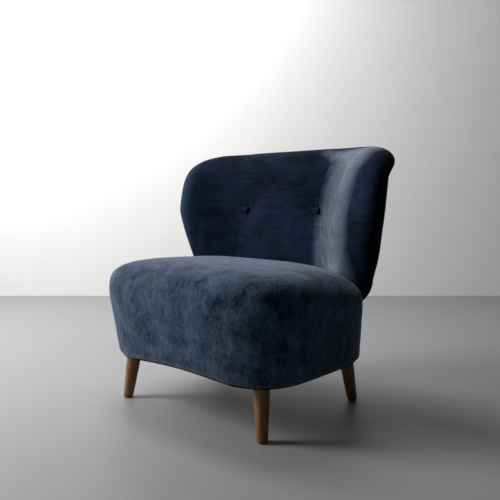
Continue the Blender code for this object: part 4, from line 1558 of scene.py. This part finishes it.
@dataclass
class EdgeRow:
    """Row of like items along a closed line, laid by Geometry Nodes."""

    path: Sequence[Vector]
    outward: Sequence[Vector]
    pitch: Pitch
    finish: bpy.types.Material

    def tree(self) -> bpy.types.NodeTree:
        """Nodes that resample the line and set an item on each of its points.

        Returns:
            The node tree.
        """
        tree = bpy.data.node_groups.new("edge_row", "GeometryNodeTree")
        inputs = {"Line": "Geometry", "Item": "Object", "Pitch": "Float", "Finish": "Material"}
        for name, kind in inputs.items():
            tree.interface.new_socket(name, in_out="INPUT", socket_type=f"NodeSocket{kind}")
        tree.interface.new_socket("Row", in_out="OUTPUT", socket_type="NodeSocketGeometry")
        nodes, links = tree.nodes, tree.links
        given = nodes.new("NodeGroupInput")
        curve = nodes.new("GeometryNodeMeshToCurve")
        links.new(given.outputs["Line"], curve.inputs["Mesh"])
        spaced = nodes.new("GeometryNodeResampleCurve")
        spaced.mode = "LENGTH"
        links.new(curve.outputs["Curve"], spaced.inputs["Curve"])
        links.new(given.outputs["Pitch"], spaced.inputs["Length"])
        item = nodes.new("GeometryNodeObjectInfo")
        links.new(given.outputs["Item"], item.inputs["Object"])
        tangent = nodes.new("GeometryNodeInputTangent")
        along = nodes.new("FunctionNodeAlignRotationToVector")
        along.axis = "X"
        links.new(tangent.outputs["Tangent"], along.inputs["Vector"])
        away = nodes.new("GeometryNodeInputNamedAttribute")
        away.data_type = "FLOAT_VECTOR"
        away.inputs["Name"].default_value = "outward"
        up = nodes.new("FunctionNodeAlignRotationToVector")
        up.axis = "Z"
        up.pivot_axis = "X"
        links.new(along.outputs["Rotation"], up.inputs["Rotation"])
        links.new(away.outputs["Attribute"], up.inputs["Vector"])
        lay = nodes.new("GeometryNodeInstanceOnPoints")
        links.new(spaced.outputs["Curve"], lay.inputs["Points"])
        links.new(item.outputs["Geometry"], lay.inputs["Instance"])
        links.new(up.outputs["Rotation"], lay.inputs["Rotation"])
        real = nodes.new("GeometryNodeRealizeInstances")
        links.new(lay.outputs["Instances"], real.inputs["Geometry"])
        dressed = nodes.new("GeometryNodeSetMaterial")
        links.new(real.outputs["Geometry"], dressed.inputs["Geometry"])
        links.new(given.outputs["Finish"], dressed.inputs["Material"])
        out = nodes.new("NodeGroupOutput")
        links.new(dressed.outputs["Geometry"], out.inputs["Row"])
        return tree

    def build(self, name: str, item: bpy.types.Mesh) -> bpy.types.Object:
        """Make the row as one plain mesh.

        Args:
            name: The new object's name.
            item: The mesh that repeats, its length along X and its outer side up.

        Returns:
            The object, at the origin.
        """
        pattern = link(bpy.data.objects.new(f"{name}_item", item))
        line = bpy.data.meshes.new(name)
        count = len(self.path)
        line.from_pydata([tuple(p) for p in self.path], [(i, (i + 1) % count) for i in range(count)], [])
        away = line.attributes.new("outward", "FLOAT_VECTOR", "POINT")
        for i, vector in enumerate(self.outward):
            away.data[i].vector = vector.normalized()
        obj = link(bpy.data.objects.new(name, line))
        tree = self.tree()
        row = obj.modifiers.new("Row", "NODES")
        row.node_group = tree
        values = {"Item": pattern, "Pitch": self.pitch.value, "Finish": self.finish}
        for socket in tree.interface.items_tree:
            if socket.name in values:
                row[socket.identifier] = values[socket.name]
        settle(obj)
        bpy.data.objects.remove(pattern)
        return obj


@dataclass
class Button:
    """Covered button that holds the cover down in its tuft."""

    back: Back
    velvet: bpy.types.Material
    radius: float = 0.0125
    dome: float = 0.0060
    rim: float = 0.0022
    rim_share: float = 0.78
    lift: float = 0.0042
    gathers: float = 14.0
    gather: float = 0.012
    sides: int = 48
    dome_steps: int = 10

    def build(self, side: float, label: str) -> bpy.types.Object:
        """Make one button, turned about the line that its twine pulls along.

        Args:
            side: -1 for the left and 1 for the right.
            label: left or right.

        Returns:
            The button.
        """
        lean = self.back.form.lean
        out = Vector((0.0, -math.cos(lean), math.sin(lean)))
        up = Vector((0.0, math.sin(lean), math.cos(lean)))
        across = Vector((1.0, 0.0, 0.0))
        base = self.back.button_place(side) + out * self.lift
        profile = [(self.radius * self.rim_share, -self.rim), (self.radius * 0.93, -self.rim * 0.8),
                   (self.radius, 0.0)]
        for k in range(1, self.dome_steps):
            angle = math.pi / 2 * k / self.dome_steps
            profile.append((self.radius * math.cos(angle) ** 0.8, self.dome * math.sin(angle)))
        rings = [[base - out * self.rim]]
        for radius, height in profile:
            ring = []
            for k in range(self.sides):
                turn = math.tau * k / self.sides
                flat = max(0.0, 1.0 - height / self.dome)
                gather = 1.0 + self.gather * math.sin(self.gathers * turn) * flat
                spoke = across * math.cos(turn) + up * math.sin(turn)
                ring.append(base + out * height + spoke * radius * gather)
            rings.append(ring)
        rings.append([base + out * self.dome])
        piece = loft(f"covered_button_{label}", rings)
        paint(piece, self.velvet)
        keep(piece, "velvet", f"button_{label}")
        return piece


@dataclass
class Leg:
    """Turned, tapered and splayed leg with a slight swell and a broken lower edge."""

    walnut: bpy.types.Material
    nylon: bpy.types.Material
    top_radius: float = 0.0225
    foot_radius: float = 0.0155
    edge: float = 0.0012
    edge_start: float = 0.0003
    swell: float = 0.0003
    glide_rim: float = 0.0008
    sides: int = 56
    steps: int = 14

    def sections(self, foot: Vector, top: Vector) -> list[Ring]:
        """Level rings from the foot up to the leg's flat top.

        Args:
            foot: Middle of the foot.
            top: Middle of the top.

        Returns:
            The rings.
        """
        height = top.z - foot.z
        levels = [(0.0, self.edge), (self.edge_start, self.edge * 0.5),
                  (self.edge * 0.5, self.edge * 0.15), (self.edge, 0.0)]
        levels += [(self.edge + (height - self.edge) * k / self.steps, 0.0) for k in range(1, self.steps + 1)]
        rings = [[foot.copy()]]
        for rise, draw in levels:
            share = rise / height
            centre = foot.lerp(top, share)
            radius = self.foot_radius + (self.top_radius - self.foot_radius) * share
            radius += self.swell * math.sin(math.pi * share) - draw
            rings.append(circle(centre, radius, self.sides))
        rings.append([top.copy()])
        return rings

    def build(self, label: str) -> bpy.types.Object:
        """Make one leg from its node's box.

        Args:
            label: End and side, such as front_left.

        Returns:
            The leg.
        """
        low, high = (Vector(corner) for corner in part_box(f"leg_{label}"))
        outward = (-1.0 if label.endswith("left") else 1.0, -1.0 if label.startswith("front") else 1.0)
        foot = Vector((0.0, 0.0, low.z))
        top = Vector((0.0, 0.0, high.z))
        for axis in (0, 1):
            outer = high[axis] if outward[axis] > 0 else low[axis]
            inner = low[axis] if outward[axis] > 0 else high[axis]
            foot[axis] = outer - outward[axis] * self.foot_radius
            top[axis] = inner + outward[axis] * self.top_radius
        piece = loft(f"turned_leg_{label}", self.sections(foot, top))
        paint(piece, self.walnut)
        keep(piece, "walnut", f"leg_{label}")
        self.glide(label)
        return piece

    def glide(self, label: str) -> None:
        """Make the nylon glide under a leg, with rounded rims.

        Args:
            label: End and side, such as front_left.
        """
        low, high = (Vector(corner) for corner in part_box(f"leg_glide_{label}"))
        centre = (low + high) / 2
        radius = (high.x - low.x) / 2
        rim = self.glide_rim
        profile = [(0.0, low.z), (radius - rim, low.z), (radius - rim * 0.3, low.z + rim * 0.3),
                   (radius, low.z + rim), (radius, high.z - rim), (radius - rim, high.z), (0.0, high.z)]
        rings = []
        for size, height in profile:
            middle = Vector((centre.x, centre.y, height))
            rings.append(circle(middle, size, self.sides) if size > 0.0 else [middle])
        piece = loft(f"glide_{label}", rings)
        paint(piece, self.nylon)
        keep(piece, "nylon", f"leg_glide_{label}")


@dataclass
class DustCover:
    """Black cambric stretched under the seat, with its staples."""

    form: SeatForm
    cambric: bpy.types.Material
    steel: bpy.types.Material
    inset: float = 0.010
    thickness: float = 0.0006
    staple_inset: float = 0.008
    staple_gap: float = 0.0002
    gap: float = 0.0003
    steps: int = 10

    def build(self) -> bpy.types.Object:
        """Make the cloth and its row of staples.

        Returns:
            The cloth.
        """
        top = self.form.ring(0.0, self.inset, -self.gap)
        middle = (self.form.front + self.form.rear) / 2
        level = self.form.base_z - self.gap
        upper = [[Vector((0.0, middle, level))]]
        for k in range(1, self.steps + 1):
            share = k / self.steps
            upper.append([Vector((p.x * share, middle + (p.y - middle) * share,
                                  level + (p.z - level) * share ** 3)) for p in top])
        drop = Vector((0.0, 0.0, -self.thickness))
        lower = [[point + drop for point in ring] for ring in reversed(upper)]
        piece = loft("stretched_dust_cover", upper + lower)
        paint(piece, self.cambric)
        keep(piece, "cambric", "dust_cover")
        lift = -self.gap - self.thickness - self.staple_gap
        line = self.form.ring(0.0, self.inset + self.staple_inset, lift)
        row = EdgeRow(line, [Vector((0.0, 0.0, -1.0))] * len(line), Pitch.STAPLE, self.steel)
        keep(row.build("dust_cover_staples", staple_mesh()), "steel")
        return piece


@dataclass(frozen=True)
class Lamp:
    """Soft rectangular light; its place and aim are given as Studio.seen takes them."""

    name: str
    place: Sequence[float]
    size: tuple[float, float]
    power: float
    colour: Colour = (1.0, 1.0, 1.0)
    aim: Sequence[float] | None = None


@dataclass
class Studio:
    """Camera, light, floor and wall; angles in degrees, lens and sensor in millimetres."""

    camera_place: Vector
    pitch: float = 4.658
    azimuth: float = 41.322
    lens: float = 43.60
    sensor: float = 36.0
    seat_height: float = 0.50
    room_colour: Colour = (0.86, 0.89, 0.93)
    room_strength: float = 0.02
    floor_colour: Colour = (0.315, 0.318, 0.324)
    wall_colour: Colour = (0.88, 0.88, 0.875)
    wall_distance: float = 3.92
    wall_height: float = 3.2
    floor_behind: float = 4.0
    half_width: float = 6.0
    lamps: Sequence[Lamp] = (
        Lamp("window", (-2.5, 1.9, 1.5), (0.9, 1.6), 78.0, (1.0, 0.99, 0.97)),
        Lamp("left_kicker", (-2.3, 3.4, 1.4), (0.5, 1.4), 18.0),
        Lamp("wall_wash", (-0.7, 2.7, 2.6), (2.0, 1.0), 48.0, aim=(0.3, 3.9, 1.0)),
    )

    def seen(self, right: float, ahead: float, height: float) -> Vector:
        """Place given by how far it is to the right of the camera and ahead of it.

        Args:
            right: Distance to the right of the camera.
            ahead: Distance ahead of it.
            height: Height over the floor.

        Returns:
            The place.
        """
        turn = math.radians(self.azimuth)
        x = self.camera_place.x + right * math.cos(turn) - ahead * math.sin(turn)
        y = self.camera_place.y + right * math.sin(turn) + ahead * math.cos(turn)
        return Vector((x, y, height))

    def camera(self) -> None:
        """Set the camera at the photograph's place."""
        data = bpy.data.cameras.new("camera")
        data.lens = self.lens
        data.sensor_width = self.sensor
        obj = link(bpy.data.objects.new("camera", data))
        obj.location = self.camera_place
        obj.rotation_euler = (math.radians(90.0 - self.pitch), 0.0, math.radians(self.azimuth))
        bpy.context.scene.camera = obj

    def light(self, lamp: Lamp) -> None:
        """Add a lamp that faces the seat, unless it has an aim of its own.

        Args:
            lamp: The lamp.
        """
        place = self.seen(*lamp.place)
        aim = self.seen(*lamp.aim) if lamp.aim else Vector((0.0, 0.0, self.seat_height))
        data = bpy.data.lights.new(lamp.name, "AREA")
        data.shape = "RECTANGLE"
        data.size, data.size_y = lamp.size
        data.energy = lamp.power
        data.color = lamp.colour
        obj = link(bpy.data.objects.new(lamp.name, data))
        obj.location = place
        obj.rotation_euler = (aim - place).to_track_quat("-Z", "Y").to_euler()

    def lights(self) -> None:
        """Light the chair from a wide window on its left, in a dim room."""
        for lamp in self.lamps:
            self.light(lamp)
        world = bpy.data.worlds.new("room")
        world.use_nodes = True
        back = world.node_tree.nodes["Background"]
        back.inputs["Color"].default_value = (*self.room_colour, 1.0)
        back.inputs["Strength"].default_value = self.room_strength
        bpy.context.scene.world = world

    def plain(self, name: str, colour: Colour, roughness: float) -> bpy.types.Material:
        """Plain matt finish with a faint unevenness.

        Args:
            name: The material's name.
            colour: Its colour.
            roughness: Its mean roughness.

        Returns:
            The material.
        """
        shading = Shading(name)
        uneven = shading.cloud(shading.place, 2.5, 5.0, 0.6)
        return shading.finish(
            Base_Color=shading.tint(uneven, scaled(colour, 0.93), colour),
            Roughness=shading.spread(uneven, 0.3, 0.7, roughness - 0.05, roughness + 0.05),
        )

    def sheet(self, name: str, corners: Sequence[Vector], finish: bpy.types.Material) -> None:
        """Add a flat sheet of the room.

        Args:
            name: The sheet's name.
            corners: Its four corners.
            finish: Its material.
        """
        mesh = bpy.data.meshes.new(name)
        mesh.from_pydata([tuple(c) for c in corners], [], [(0, 1, 2, 3)])
        mesh.materials.append(finish)
        link(bpy.data.objects.new(name, mesh))

    def room(self) -> None:
        """Add the floor and the wall behind."""
        far, near, side, top = self.wall_distance, -self.floor_behind, self.half_width, self.wall_height
        corners = ((-side, near), (side, near), (side, far), (-side, far))
        floor = self.plain("pale_floor", self.floor_colour, 0.5)
        self.sheet("floor", [self.seen(right, ahead, 0.0) for right, ahead in corners], floor)
        wall = self.plain("pale_wall", self.wall_colour, 0.9)
        corners = ((-side, 0.0), (side, 0.0), (side, top), (-side, top))
        self.sheet("wall", [self.seen(right, far, height) for right, height in corners], wall)

    def build(self) -> None:
        """Set the whole studio up."""
        bpy.context.scene.view_settings.view_transform = "Standard"
        self.camera()
        self.lights()
        self.room()


def dress_nodes(finishes: dict[str, bpy.types.Material]) -> None:
    """Give every node of the frame the finish of its material slot.

    Args:
        finishes: The finish of each slot.
    """
    slots = {part["node"]: part["material_slot"] for part in frame["record"]["subparts"]}
    for node, obj in frame["nodes"].items():
        paint(obj, finishes[slots[node]])


def main() -> None:
    """Build the dressed chair and its studio."""
    logging.basicConfig(level=logging.INFO, format="%(message)s")
    seat_low, seat_high = (Vector(corner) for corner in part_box("seat_cover"))
    back_low, back_high = (Vector(corner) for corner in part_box("back_cover"))
    crushed = Velvet("crushed_velvet", Nap.CRUSHED).build()
    # Colour of the painted highlight band inside the right wing.
    band = PaintedSheenBand((0.200, 0.238, 0.285))
    # Painted shade: the back's velvet has far darker tones and a lower sheen than the seat's, for the shade
    # that the back sits in.
    slubbed = Velvet("slubbed_velvet_painted_shade", Nap.SLUBBED, (0.0004, 0.0020, 0.0074), (0.0040, 0.0145, 0.0420), 0.06,
                     band=band).build()
    walnut = Timber("oiled_walnut", (0.112, 0.048, 0.0145), (0.345, 0.162, 0.055)).build()
    nylon = Moulded("black_nylon").build()
    steel = Plated("zinc_plated_steel").build()
    cambric = Woven("black_cambric", (0.020, 0.020, 0.022)).build()
    twine = Woven("waxed_twine", (0.030, 0.036, 0.050), 2400.0, 0.0002).build()
    dress_nodes({
        "velvet": crushed,
        "walnut": walnut,
        "beech": Timber("bare_beech", (0.42, 0.28, 0.16), (0.62, 0.45, 0.28), (0.07, 1.0, 1.0), 0.6).build(),
        "steel": steel,
        "nylon": nylon,
        "foam": Foam("seat_foam_cells").build(),
        "felt": Woven("grey_felt", (0.23, 0.22, 0.21), 400.0).build(),
        "cambric": cambric,
        "webbing": Woven("elastic_webbing", (0.11, 0.10, 0.09), 700.0).build(),
        "twine": Woven("tufting_twine", (0.62, 0.60, 0.54), 2400.0).build(),
    })
    seat_form = SeatForm(seat_high.x, seat_low.y, seat_high.y, seat_low.z, seat_high.z)
    shift = seat_high.y - FITTED_SEAT_REAR
    back_form = BackForm(FITTED_BACK_MIDDLE + shift, back_high.z, back_low.z)
    x, y, z = FITTED_CAMERA
    Studio(Vector((x, y + shift, z))).build()
    Seat(seat_form, back_form, crushed).build()
    back = Back(back_form, slubbed)
    back.build()
    OutsidePanel(back_form, slubbed, twine).build()
    for label, side in (("left", -1.0), ("right", 1.0)):
        Button(back, slubbed).build(side, label)
    for end in ("front", "back"):
        for side_name in ("left", "right"):
            Leg(walnut, nylon).build(f"{end}_{side_name}")
    DustCover(seat_form, cambric, steel).build()


if __name__ == "__main__":
    main()
